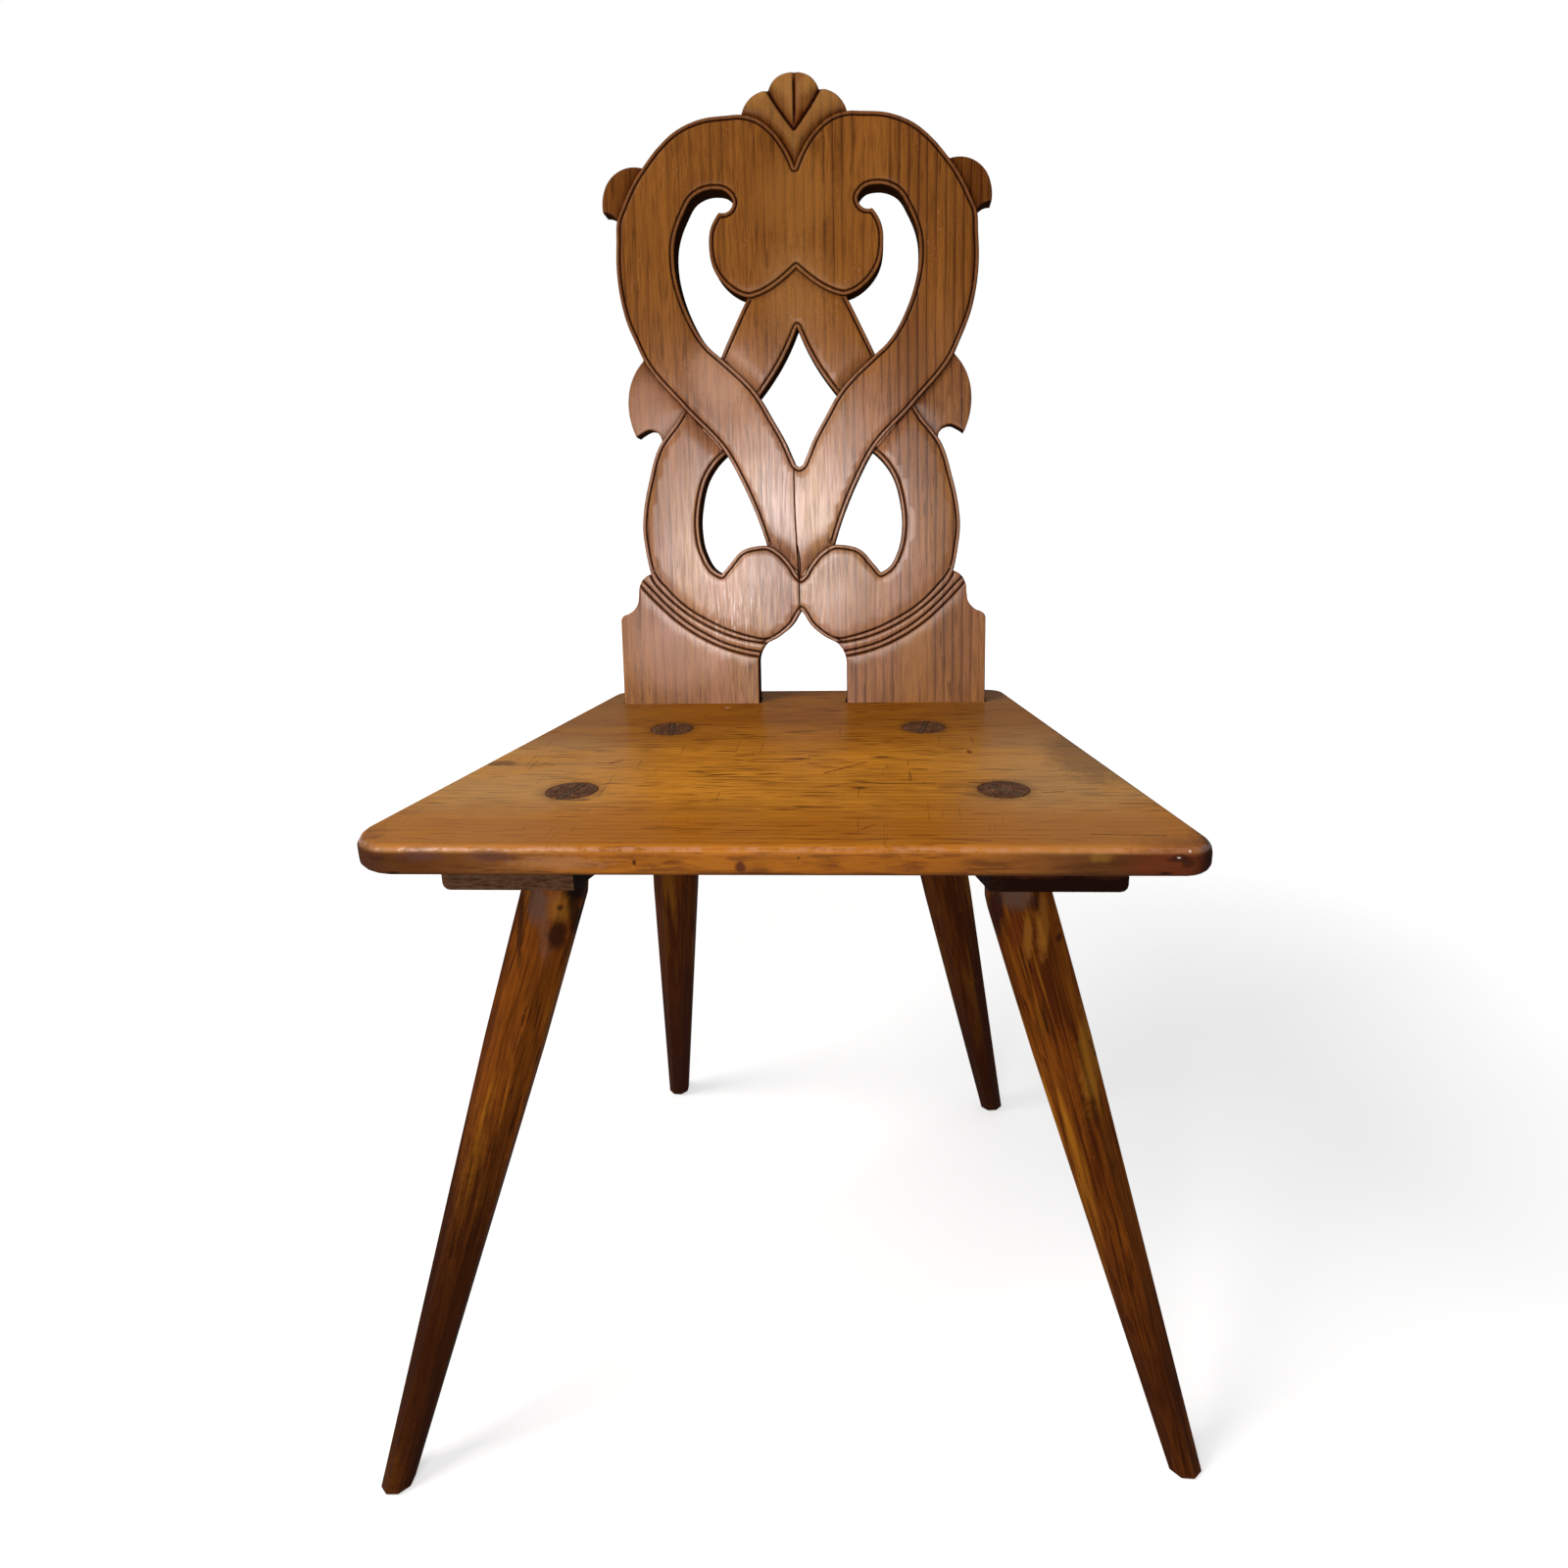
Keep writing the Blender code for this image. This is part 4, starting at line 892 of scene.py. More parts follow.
LEAF_EDGE_HEART = ((118.5, 265.7), (88.5, 229.3))
STRAP_ABOVE = ((88.5, 229.3), (56.6, 194.5))
LEAF_EDGE_RING = ((106.8, 204), (101.3, 211), (95, 218.5), (88.5, 229.3))
CREST_EDGE = ((39.3, 436.9), (27.5, 433.8), (15, 424.5), (5.5, 411.5), (0, 399.7))
SPADE_EDGE = ((0, 329.2), (8.5, 322), (20.5, 314), (28, 310.6), (37.5, 308.8))
LOBE_EDGE = ((0, 98.7), (2.2, 100.6), (6.4, 107.2), (16.3, 118.6), (26.5, 124.2))

# Beads at the foot of the ring: the dark lines between them, from above
BEAD_LINES = (
    ((115.8, 104.4), (112.4, 98.8), (107.2, 92.9), (98.8, 83.8), (87.5, 74.4), (75, 66.9), (62.5, 60.6),
     (48.8, 55.6), (38.8, 52.8), (30, 51.3), (25, 52.3)),
    ((119.4, 103), (116.3, 96.3), (108.8, 87.5), (98.8, 78.1), (87.5, 69.4), (75, 61.9), (62.5, 56),
     (48.8, 51.3), (36.3, 48.8), (25, 47.5)),
    ((129, 102), (117.5, 90), (108.8, 80.6), (98.8, 71.3), (87.5, 62.5), (75, 55), (62.5, 48.8),
     (48.8, 44.4), (30, 40.8)),
    ((131, 98.5), (118.8, 84.4), (111.3, 76.9), (101.3, 67.5), (88.8, 58.1), (75, 50), (62.5, 44.4),
     (48.8, 40), (32, 36.9)),
)
CREST_VEE = ((20, 454), (13.8, 443.8), (7.5, 435), (0, 425.5))
CREST_SEAM = ((0, 431), (0, 457.5))
CRACK = ((-4.3, 181), (-4.0, 150), (-3.0, 125), (-1.9, 100), (-1.4, 74))
SPLINTER = ((-3.0, 125), (-1.5, 118), (-0.6, 108), (-1.7, 96))

# Sunk grounds: their outline, the straps that rise beside them, and the painted shade they carry throughout
CREST_GROUND = (*CREST_EDGE[::-1], (60, 440), (60, 482), (0, 482))
GROUNDS = (
    (((134.4, 366), (131.9, 372), (124.2, 387), (113.5, 403), (125, 425), (158, 408), (158, 358)),
     ("heart",), 0.55),
    ((LEAF_EDGE_HEART[0], *LEAF_EDGE_RING[::-1], (125, 190), (150, 200), (150, 262), (126, 273)),
     ("heart", "ring"), 0.05),
    (CREST_GROUND, ("heart",), 0.10),
)
# Straps that pass below: the outline of each slope, the strap above it and the slope's length
PASSES = (
    (((54.8, 191.9), (88.5, 229.3), (92, 236), (120, 205), (85, 165)), "heart", 12.0),
    (((60.4, 269.0), (28.6, 235.3), (5, 255), (38, 292)), "spade", 14.0),
    ((*SPADE_EDGE[:4], (40, 308.8), (52, 290), (45, 270), (0, 270)), "spade", 15.0),
    (((0, 99.5), (6, 107.6), (16.3, 118.6), (26.5, 124.2), (45, 140), (45, 170), (0, 170)), "lobes", 12.5),
)


def smooth_stroke(knots: tuple, spacing: float) -> np.ndarray:
    """Return points along a smooth curve through the knots, both ends kept.

    Args:
        knots: Points in millimetres.
        spacing: Distance between the returned points.

    Returns:
        An array with one point a row.
    """
    points = [Vector(knot) for knot in knots]
    chords = [after - before for before, after in zip(points, points[1:])]
    if len(points) == 2:
        steps = max(1, round(chords[0].length / spacing))
        return np.array([points[0].lerp(points[1], step / steps) for step in range(steps + 1)])
    headings = []
    for before, after in zip(chords, chords[1:]):
        heading = before.normalized() * after.length + after.normalized() * before.length
        headings.append(heading.normalized())
    headings.insert(0, headings[0].reflect(chords[0].orthogonal().normalized()))
    headings.append(headings[-1].reflect(chords[-1].orthogonal().normalized()))
    curve = [points[0]]
    for start, end, leaving, arriving in zip(points, points[1:], headings, headings[1:]):
        span = (end - start).length
        reach = span / 3.0
        steps = max(1, round(span / spacing))
        curve.extend(interpolate_bezier(start, start + leaving * reach, end - arriving * reach, end,
                                        steps + 1)[1:])
    return np.array(curve)


def join_strokes(*strokes: np.ndarray) -> np.ndarray:
    """Join curves end to end, keeping one copy of each shared corner."""
    parts = [strokes[0]]
    for stroke in strokes[1:]:
        shared = np.linalg.norm(parts[-1][-1] - stroke[0]) < 1e-3
        parts.append(stroke[1:] if shared else stroke)
    return np.concatenate(parts)


def smooth_chain(spacing: float, *strokes: tuple) -> list:
    """Draw strokes as one smooth curve and return it cut at their shared ends.

    Args:
        spacing: Distance between the returned points.
        *strokes: Knots of each stroke, each starting where the one before ends.

    Returns:
        One array of points for each stroke.
    """
    knots = strokes[0]
    for stroke in strokes[1:]:
        knots = (*knots, *stroke[1:])
    curve = smooth_stroke(knots, spacing)
    cuts = [int(np.argmin(np.linalg.norm(curve - np.array(stroke[0]), axis=1))) for stroke in strokes]
    ends = [*cuts[1:], len(curve) - 1]
    return [curve[start:end + 1] for start, end in zip(cuts, ends)]


def past_centre(points: np.ndarray) -> np.ndarray:
    """Run a line's last step 7 mm on beyond its end, so that what it carves meets on the centre line."""
    step = points[-1] - points[-2]
    return np.concatenate([points, [points[-1] + 7.0 * step / np.linalg.norm(step)]])


def mirror_points(points: np.ndarray) -> np.ndarray:
    """Return points reflected about the centre line, in reverse order."""
    return (points * (-1.0, 1.0))[::-1]


def over_centre(points: np.ndarray) -> np.ndarray:
    """Run a line that ends on the centre line a little way on along its mirror image."""
    return np.concatenate([points, mirror_points(points)[1:6]])


def inside(points: np.ndarray, polygon: tuple) -> np.ndarray:
    """Return which points lie in a polygon, by the even-odd rule."""
    x, y = points[:, 0], points[:, 1]
    result = np.zeros(len(points), bool)
    corners = np.array(polygon, float)
    for start, end in zip(corners, np.roll(corners, -1, axis=0)):
        if start[1] == end[1]:
            continue
        crosses = (start[1] > y) != (end[1] > y)
        at = start[0] + (y - start[1]) * (end[0] - start[0]) / (end[1] - start[1])
        result ^= crosses & (x < at)
    return result


def signed_distance(points: np.ndarray, line: np.ndarray, open_start: bool = False,
                    open_end: bool = False) -> np.ndarray:
    """Return distances from a line, positive on its left.

    Args:
        points: Where to measure.
        line: The line's points.
        open_start: Whether what lies behind the line's start counts as far away.
        open_end: The same for its end.

    Returns:
        One signed distance for each point.
    """
    starts, steps = line[:-1], np.diff(line, axis=0)
    lengths = np.linalg.norm(steps, axis=1)
    result = np.empty(len(points))
    for low in range(0, len(points), BATCH):
        away = points[low:low + BATCH, None, :] - starts[None]
        along = (away * steps).sum(2) / lengths**2
        share = np.clip(along, 0.0, 1.0)
        cross = (steps[:, 0] * away[:, :, 1] - steps[:, 1] * away[:, :, 0]) / lengths
        gap = np.linalg.norm(away - share[:, :, None] * steps, axis=2)
        best = np.argmin(gap - 1e-4 * np.abs(cross), axis=1)
        rows = np.arange(len(best))
        found = np.where(cross[rows, best] < 0, -gap[rows, best], gap[rows, best])
        if open_start:
            found[(best == 0) & (along[rows, best] < 0)] = FAR
        if open_end:
            found[(best == len(steps) - 1) & (along[rows, best] > 1)] = FAR
        result[low:low + BATCH] = found
    return result


def nearest_gap(points: np.ndarray, lines: list) -> np.ndarray:
    """Return each point's distance from the nearest of some lines."""
    return np.min([np.abs(signed_distance(points, line)) for line in lines], axis=0)


def offset_rows(line: np.ndarray, offsets: tuple, spacing: float) -> list:
    """Return points beside a line, with fans round its outer corners.

    Args:
        line: The line's points.
        offsets: Distances to the left; negative ones lie to the right.
        spacing: Widest gap between neighbours in a fan.

    Returns:
        Pairs of an offset and its points.
    """
    steps = np.diff(line, axis=0)
    headings = np.arctan2(steps[:, 1], steps[:, 0])
    rows = []
    for offset in offsets:
        found = []
        for index in range(len(line)):
            before = headings[max(index - 1, 0)]
            after = headings[min(index, len(headings) - 1)]
            turn = (after - before + math.pi) % (2 * math.pi) - math.pi
            fan = turn * offset < 0 and abs(turn) > SHARP_TURN
            count = max(1, math.ceil(abs(turn * offset) / spacing))
            shares = [step / count for step in range(count + 1)] if fan else [0.5]
            for heading in (before + turn * share for share in shares):
                found.append(line[index] + offset * np.array((-math.sin(heading), math.cos(heading))))
        rows.append((offset, np.array(found)))
    return rows


@dataclass(frozen=True)
class CarvedEdge:
    """One edge of a strap, with the strap on its left, and whether its ends stop short."""

    points: np.ndarray
    open_start: bool = False
    open_end: bool = False

    def distance(self, points: np.ndarray) -> np.ndarray:
        """Return signed distances of right-half points from the edge."""
        return signed_distance(points, self.points, self.open_start, self.open_end)


class Profile(Enum):
    """How far from a line its own rows of vertices lie, in millimetres."""

    RIM = (0.12, 0.35, 0.7, 1.1, 1.6, 2.15, 2.6, 2.85, 3.1, 3.35, 3.65, 4.1, 4.75)
    STEP = (-0.3, -0.9, -2.0, -3.5, -6.0)
    ARRIS = (-0.12, -0.4, -0.9, -2.0, 0.12, 0.4, 0.9, 2.0)
    BEAD = (-2.1, -1.5, -0.9, -0.4, 0.0, 0.4, 0.9, 1.5, 2.1)
    CRACK = (-0.8, -0.5, -0.25, 0.0, 0.25, 0.5, 0.8)


def fade(gap: np.ndarray, reach: float | np.ndarray) -> np.ndarray:
    """Return 1 on a line, falling evenly to 0 at a distance from it."""
    return 1.0 - np.clip(np.abs(gap) / reach, 0.0, 1.0)


def bulge(gap: np.ndarray, middle: float, width: float) -> np.ndarray:
    """Return 1 at one distance from a line, falling in a bell curve to both sides of it."""
    return np.exp(-((gap - middle) / width) ** 2)


def quarter_round(gap: np.ndarray, radius: float) -> np.ndarray:
    """Return how deep a rounded arris lies below the surface at a distance from the edge."""
    return -radius * (1.0 - np.sqrt(1.0 - fade(gap, radius) ** 2))


def cut_line(gap: np.ndarray, depth: float, width: float | np.ndarray) -> np.ndarray:
    """Return the depth of a V cut with rounded shoulders at a distance from its middle."""
    return -depth * fade(gap, width) ** 2


@dataclass(frozen=True)
class Trace:
    """Dirt, painted shade, painted highlight or depth along a line: how much there, and its reach in
    millimetres.
    """

    strength: float
    reach: float

    def even(self, gap: np.ndarray) -> np.ndarray:
        """Return its share at distances from the line, falling evenly to nothing."""
        return self.strength * fade(gap, self.reach)

    def soft(self, gap: np.ndarray) -> np.ndarray:
        """Return its share at distances from the line, fading out without an end."""
        return self.strength * np.exp(-gap / self.reach)


@dataclass
class CarvedBack:
    """The pierced and carved back board, worked as one surface from the drawing, in millimetres."""

    finish: BackFinish
    spacing: float = 1.25
    groove_at: float = 3.1
    groove_depth: float = 1.15
    rim_round: float = 1.3
    plain_round: float = 1.0
    ground: float = 2.2
    underpass: float = 1.9
    groove_inner: float = 1.4
    groove_outer: float = 1.6
    rim_middle: float = 1.7
    bead_middle: float = 1.5
    ground_fall: Trace = Trace(0.9, 6.0)
    ground_shade: Trace = Trace(0.75, 3.5)
    pass_shade: Trace = Trace(0.85, 3.2)
    pass_steepness: float = 2.2
    groove_dirt: Trace = Trace(1.6, 1.05)
    cut_dirt: Trace = Trace(1.6, 1.15)
    crack_dirt: Trace = Trace(1.5, 0.75)
    # Painted shade at the foot of walls and along the outer edge of the straps.
    wall_painted_shade: Trace = Trace(0.85, 0.9)
    edge_painted_shade: Trace = Trace(0.8, 0.8)
    # Painted highlight along the rims of straps, plain edges and beads.
    strap_rim: Trace = Trace(1.0, 1.5)
    plain_rim: Trace = Trace(0.6, 1.6)
    bead_rim: Trace = Trace(0.8, 0.8)
    bead_cut: tuple = (1.3, 2.0)
    vee_cut: tuple = (1.5, 2.2)
    seam_cut: tuple = (0.3, 0.8)
    crack_cut: tuple = (1.4, 0.6)
    lobe_rise: tuple = (3.6, 2.6)
    lobe_fall: Trace = Trace(2.4, 3.6)
    lobe_shade: Trace = Trace(1.30, 4.0)
    vee_shade: Trace = Trace(0.9, 1.5)
    middle_shade: Trace = Trace(1.25, 3.2)
    gold_loss: Trace = Trace(0.8, 2.4)
    seam_shade: tuple = (0.8, 1.0)
    seam_foot: float = 430.0
    seam_start: float = 8.0
    coarse: float = 5.0
    crowding: float = 0.07
    closest: float = 0.11
    rear_spacing: float = 3.0
    rear_share: int = 7
    grid_width: float = 150.0
    grid_rise: tuple = (-76.0, 465.0)

    def stroke(self, knots: tuple) -> np.ndarray:
        """Return one smooth stroke of the drawing."""
        return smooth_stroke(knots, self.spacing)

    def draw(self) -> None:
        """Draw every stroke once, so that the outline and the carving share their points."""
        alone = {"ring_inner": RING_INNER, "lambda": LAMBDA_OUTER, "diamond_upper": DIAMOND_UPPER,
                 "shoulder": SHOULDER, "leaf_scallop": LEAF_SCALLOP, "leaf_outer": LEAF_OUTER,
                 "ear_scallop": EAR_SCALLOP, "ear_outer": EAR_OUTER, "crest_side": CREST_SIDE,
                 "crest_top": CREST_TOP}
        self.lines = {name: self.stroke(knots) for name, knots in alone.items()}
        chains = (
            {"point": HEART_POINT[::-1], "strap_above": STRAP_ABOVE[::-1],
             "leaf_heart": LEAF_EDGE_HEART[::-1], "heart_outer": HEART_OUTER, "ear": EAR_EDGE,
             "heart_top": HEART_TOP, "crest": CREST_EDGE},
            {"spade": SPADE_EDGE, "spade_side": SPADE_SIDE},
            {"scroll": SCROLL, "strap_below": STRAP_BELOW, "diamond_lower": DIAMOND_LOWER},
            {"ring_outer": RING_OUTER, "leaf_ring": LEAF_EDGE_RING},
            {"lobe": LOBE_EDGE, "lobe_top": LOBE_TOP},
            {"arch_foot": ARCH[:3], "arch": ARCH[2:]},
        )
        for chain in chains:
            self.lines.update(zip(chain, smooth_chain(self.spacing, *chain.values())))

    def joined(self, *names: str) -> np.ndarray:
        """Return named strokes end to end; a name with a minus is taken backwards."""
        return join_strokes(*(self.lines[name.strip("-")][::-1 if name.startswith("-") else 1]
                              for name in names))

    def strap_edges(self) -> list:
        """Return the edges of the straps in the right half, each with its strap on the left."""
        heart = over_centre(self.joined("point", "strap_above", "leaf_heart", "heart_outer", "ear",
                                        "heart_top", "crest"))
        spade = self.joined("spade", "spade_side", "scroll", "strap_below", "diamond_lower")
        spade = over_centre(over_centre(spade)[::-1])[::-1]
        lobes = over_centre(self.joined("-ring_inner", "-lobe_top", "-lobe"))
        arch = over_centre(self.lines["arch"])[::-1]
        return [
            CarvedEdge(heart, open_start=True),
            CarvedEdge(spade),
            CarvedEdge(self.lines["lambda"], open_start=True, open_end=True),
            CarvedEdge(over_centre(self.lines["diamond_upper"][::-1])[::-1], open_end=True),
            CarvedEdge(self.joined("ring_outer", "leaf_ring"), open_start=True, open_end=True),
            CarvedEdge(lobes, open_start=True),
            CarvedEdge(arch, open_end=True),
        ]

    def plain_edges(self) -> list:
        """Return the outline's edges that carry no rim, in the right half."""
        return [
            self.joined("ear_scallop", "ear_outer"),
            self.joined("leaf_scallop", "leaf_outer"),
            self.joined("crest_side", "crest_top"),
            join_strokes(self.stroke(((FOOT_OUTER, 0), (FOOT_OUTER, 67))), self.lines["shoulder"]),
            join_strokes(self.stroke(((FOOT_INNER, 0), (FOOT_INNER, 30))), self.lines["arch_foot"]),
        ]

    def outer_loop(self) -> np.ndarray:
        """Return the closed outline with both tenons, anticlockwise from the top of the arch."""
        below = SIZES.seat_thickness + SIZES.batten_depth + SIZES.tenon_stand_out
        end = -below / MM / math.cos(SIZES.recline)
        step = -(SIZES.housing_depth - SIZES.fit_gap) / MM / math.cos(SIZES.recline)
        middle = 0.5 * (FOOT_OUTER + FOOT_INNER)
        half = 0.5 * TENON_WIDTH
        corners = ((FOOT_INNER, 30), (FOOT_INNER, step), (middle - half, step), (middle - half, end),
                   (middle + half, end), (middle + half, step), (FOOT_OUTER, step), (FOOT_OUTER, 67))
        foot = join_strokes(*(self.stroke(pair) for pair in zip(corners, corners[1:])))
        upper = self.joined("shoulder", "ring_outer", "leaf_scallop", "leaf_outer", "heart_outer",
                            "ear_scallop", "ear_outer", "heart_top", "crest_side", "crest_top")
        right = join_strokes(self.joined("-arch", "-arch_foot"), foot, upper)
        return np.concatenate([right, mirror_points(right)[1:-1]])

    def openings(self) -> list:
        """Return the closed loops of the five openings."""
        scroll = self.joined("spade_side", "scroll", "lambda")[:-1]
        drop = self.joined("lobe_top", "ring_inner", "-point")[:-1]
        diamond = self.joined("diamond_upper", "diamond_lower")
        diamond = np.concatenate([diamond, mirror_points(diamond)[1:-1]])
        return [scroll, mirror_points(scroll), drop, mirror_points(drop), diamond]

    def key_slots(self) -> list:
        """Return the loops of the slots that take the keys, under the battens."""
        top = SIZES.batten_bottom() - SIZES.fit_gap + SIZES.key_draw
        bottom = SIZES.batten_bottom() - SIZES.key_height
        low, high = ((level - SIZES.seat_top()) / MM / math.cos(SIZES.recline) for level in (bottom, top))
        half = 0.5 * SIZES.key_width / MM + 2 * SIZES.fit_gap / MM
        middle = 0.5 * (FOOT_OUTER + FOOT_INNER)
        slot = np.array(((middle - half, low), (middle + half, low), (middle + half, high),
                         (middle - half, high)))
        return [slot, mirror_points(slot)]

    def relief(self, points: np.ndarray) -> tuple:
        """Work out how the front is carved.

        Args:
            points: Places on the board in millimetres.

        Returns:
            The height of the surface below or above the board's face, and the shares of dirt with
            painted shade, painted rim highlight, painted shade and painted golden highlight there.
        """
        right = np.abs(points * (1.0, 0.0)) + points * (0.0, 1.0)
        away = [edge.distance(right) for edge in self.edges]
        heart, spade, _, _, ring, lobes, _ = away
        own = np.min([np.where(side > -0.05, np.abs(side), FAR) for side in away], axis=0)
        beyond = {name: np.where(side < -0.05, -side, FAR)
                  for name, side in (("heart", heart), ("spade", spade), ("ring", ring), ("lobes", lobes))}
        base = np.zeros(len(points))
        shade = np.zeros(len(points))
        wall = np.full(len(points), FAR)
        # Sunk grounds get painted shade, most next to the straps that rise beside them.
        for polygon, owners, base_shade in GROUNDS:
            gap = np.min([beyond[owner] for owner in owners], axis=0)
            on = inside(right, polygon) & (gap < FAR)
            base = np.where(on, -self.ground - self.ground_fall.soft(gap), base)
            shade = np.where(on, base_shade + self.ground_shade.soft(gap), shade)
            wall = np.where(on, gap, wall)
            own = np.where(on, FAR, own)
        base, shade, pale = self.carve_crest(points, right, beyond["heart"], base, shade)
        for polygon, owner, length in PASSES:
            gap = beyond[owner]
            on = inside(right, polygon) & (gap < length)
            slope = -self.underpass * fade(gap, length) ** self.pass_steepness
            base = np.where(on, np.minimum(base, slope), base)
            shade = np.where(on, np.maximum(shade, self.pass_shade.soft(gap)), shade)
            wall = np.where(on, np.minimum(wall, gap), wall)
        groove = own - self.groove_at
        width = np.where(groove < 0, self.groove_inner, self.groove_outer)
        worked = cut_line(groove, self.groove_depth, width) + quarter_round(own, self.rim_round)
        dirt_and_shade = self.groove_dirt.even(groove)
        # Painted highlight along the rims.
        rim = self.strap_rim.even(own - self.rim_middle)
        for line in self.plain:
            gap = np.abs(signed_distance(right, line))
            worked = np.minimum(worked, quarter_round(gap, self.plain_round))
            rim = np.maximum(rim, self.plain_rim.even(gap))
        for line, size in self.cuts:
            gap = np.abs(signed_distance(right, line))
            worked = np.minimum(worked, cut_line(gap, *size))
            dirt_and_shade = np.maximum(dirt_and_shade, self.cut_dirt.even(gap))
        rim = np.maximum(rim, self.bead_rim.even(nearest_gap(right, self.beads) - self.bead_middle))
        crack = nearest_gap(points, [self.crack, self.splinter])
        worked = np.minimum(worked, cut_line(crack, *self.crack_cut))
        # Dirt in grooves, cuts and the crack, and painted shade at the foot of walls and along the outer
        # edge.
        dirt_and_shade = np.max([dirt_and_shade, self.crack_dirt.even(crack), self.wall_painted_shade.even(wall),
                       self.edge_painted_shade.even(own)], axis=0)
        return base + worked, np.clip(dirt_and_shade, 0.0, 1.0), rim, shade, pale

    def carve_crest(self, points: np.ndarray, right: np.ndarray, gap: np.ndarray, base: np.ndarray,
                    shade: np.ndarray) -> tuple:
        """Scoop the three lobes of the crest.

        Args:
            points: Places on the board in millimetres.
            right: The same places brought over to the right half.
            gap: Distances from the straps below the crest.
            base: The surface so far.
            shade: The share of shade so far.

        Returns:
            The new surface, the new shares of painted shade, and the shares of painted golden highlight.
        """
        on = inside(right, CREST_GROUND) & (gap < FAR)
        vee = signed_distance(right, self.vee)
        within, side = on & (vee < 0), on & (vee >= 0)
        vee = np.abs(vee)
        rise = bulge(vee, *self.lobe_rise)
        side_form = -0.4 - self.lobe_fall.soft(gap) - 0.9 * (1.0 - rise)
        side_shade = self.lobe_shade.soft(gap) + self.vee_shade.soft(vee)
        # Painted highlight: the side lobes turn golden, most on the ridge beside the vee.
        side_painted_gold = (0.75 + 0.4 * rise) * (1.0 - self.gold_loss.soft(gap))
        seam = bulge(points[:, 0], *self.seam_shade)
        seam *= np.clip((points[:, 1] - self.seam_foot) / self.seam_start, 0.0, 1.0)
        middle_form = -0.6 - 1.1 * seam - 0.5 * bulge(points[:, 0], 0.0, 6.0)
        middle_shade = seam + 0.5 * bulge(points[:, 0], 4.5, 3.4) + self.middle_shade.soft(vee)
        base = np.where(side, side_form, np.where(within, middle_form, base))
        shade = np.where(side, side_shade, np.where(within, middle_shade, shade))
        # Painted golden highlight, less where painted shade falls.
        golden = np.where(side, side_painted_gold, np.where(within, 0.9, 0.0))
        return base, shade, golden * (1.0 - np.clip(shade, 0.0, 1.0))

    def worked_points(self) -> np.ndarray:
        """Return the places inside the board where its front needs a vertex."""
        worked = [(edge.points, Profile.RIM.value + Profile.STEP.value) for edge in self.edges]
        worked += [(line, Profile.ARRIS.value) for line in self.plain]
        worked += [(line, Profile.BEAD.value) for line, _ in self.cuts]
        lines = [line for line, _ in worked]
        names = ("leaf_heart", "leaf_ring", "ear", "crest", "spade", "lobe", "strap_above", "strap_below")
        rows = [(0.0, self.lines[name]) for name in names]
        rows += [row for line, offsets in worked for row in offset_rows(line, offsets, self.spacing)]
        kept = []
        for offset, points in rows:
            points = points[points[:, 0] > -0.01]
            if len(points):
                kept.append(points[nearest_gap(points, lines) > abs(offset) - self.crowding])
        across = np.arange(0.0, self.grid_width, self.coarse)
        grid = np.array([(x, h) for h in np.arange(*self.grid_rise, self.coarse) for x in across])
        kept.append(grid[nearest_gap(grid, lines) > 1.3 * self.coarse])
        found = np.concatenate(kept)
        found = np.concatenate([found, found[found[:, 0] > 0.2] * (-1.0, 1.0)])
        crack = [points for line in (self.crack, self.splinter)
                 for _, points in offset_rows(line, Profile.CRACK.value, self.spacing)]
        return np.concatenate(crack + [found])

    @staticmethod
    def thinned(points: np.ndarray, apart: float, taken: np.ndarray) -> np.ndarray:
        """Drop points that crowd others, keeping those named first.

        Args:
            points: The points to thin.
            apart: Smallest distance that is kept.
            taken: Points that are there already.

        Returns:
            The points that stay.
        """
        cells = {}
        result = []
        for point in [*taken, *points]:
            cell = (math.floor(point[0] / apart), math.floor(point[1] / apart))
            near = [cells.get((cell[0] + i, cell[1] + j), ()) for i in (-1, 0, 1) for j in (-1, 0, 1)]
            if any(math.dist(point, other) < apart for group in near for other in group):
                if len(result) >= len(taken):
                    continue
            cells.setdefault(cell, []).append(tuple(point))
            result.append(point)
        return np.array(result[len(taken):])

    def surface(self, loops: list, extra: np.ndarray) -> tuple:
        """Fill the outline, less its openings, with triangles through the extra points.

        Args:
            loops: The outline, then the openings.
            extra: Points inside it.

        Returns:
            The vertices, the triangles, and for each loop its vertices' numbers.
        """
        coordinates = [Vector(point) for point in np.concatenate([*loops, extra])]
        rings, faces, start = [], [], 0
        for loop in loops:
            ring = list(range(start, start + len(loop)))
            start += len(loop)
            following = np.roll(loop, -1, axis=0)
            turning = np.sum(loop[:, 0] * following[:, 1] - loop[:, 1] * following[:, 0])
            rings.append(ring)
            faces.append(ring if turning > 0 else ring[::-1])
        found = delaunay_2d_cdt(coordinates, [], faces, 1, 1e-4)
        triangles = [tri for tri, owners in zip(found[2], found[5]) if list(owners) == [0]]
        number = {}
        for index, sources in enumerate(found[3]):
            for source in sources:
                number[source] = index
        rims = [[number[index] for index in ring] for ring in rings]
        used = sorted({index for tri in triangles for index in tri})
        kept = {index: place for place, index in enumerate(used)}
        triangles = [tuple(kept[index] for index in tri) for tri in triangles]
        rims = [[kept[index] for index in rim] for rim in rims]
        return np.array([tuple(found[0][index]) for index in used]), triangles, rims

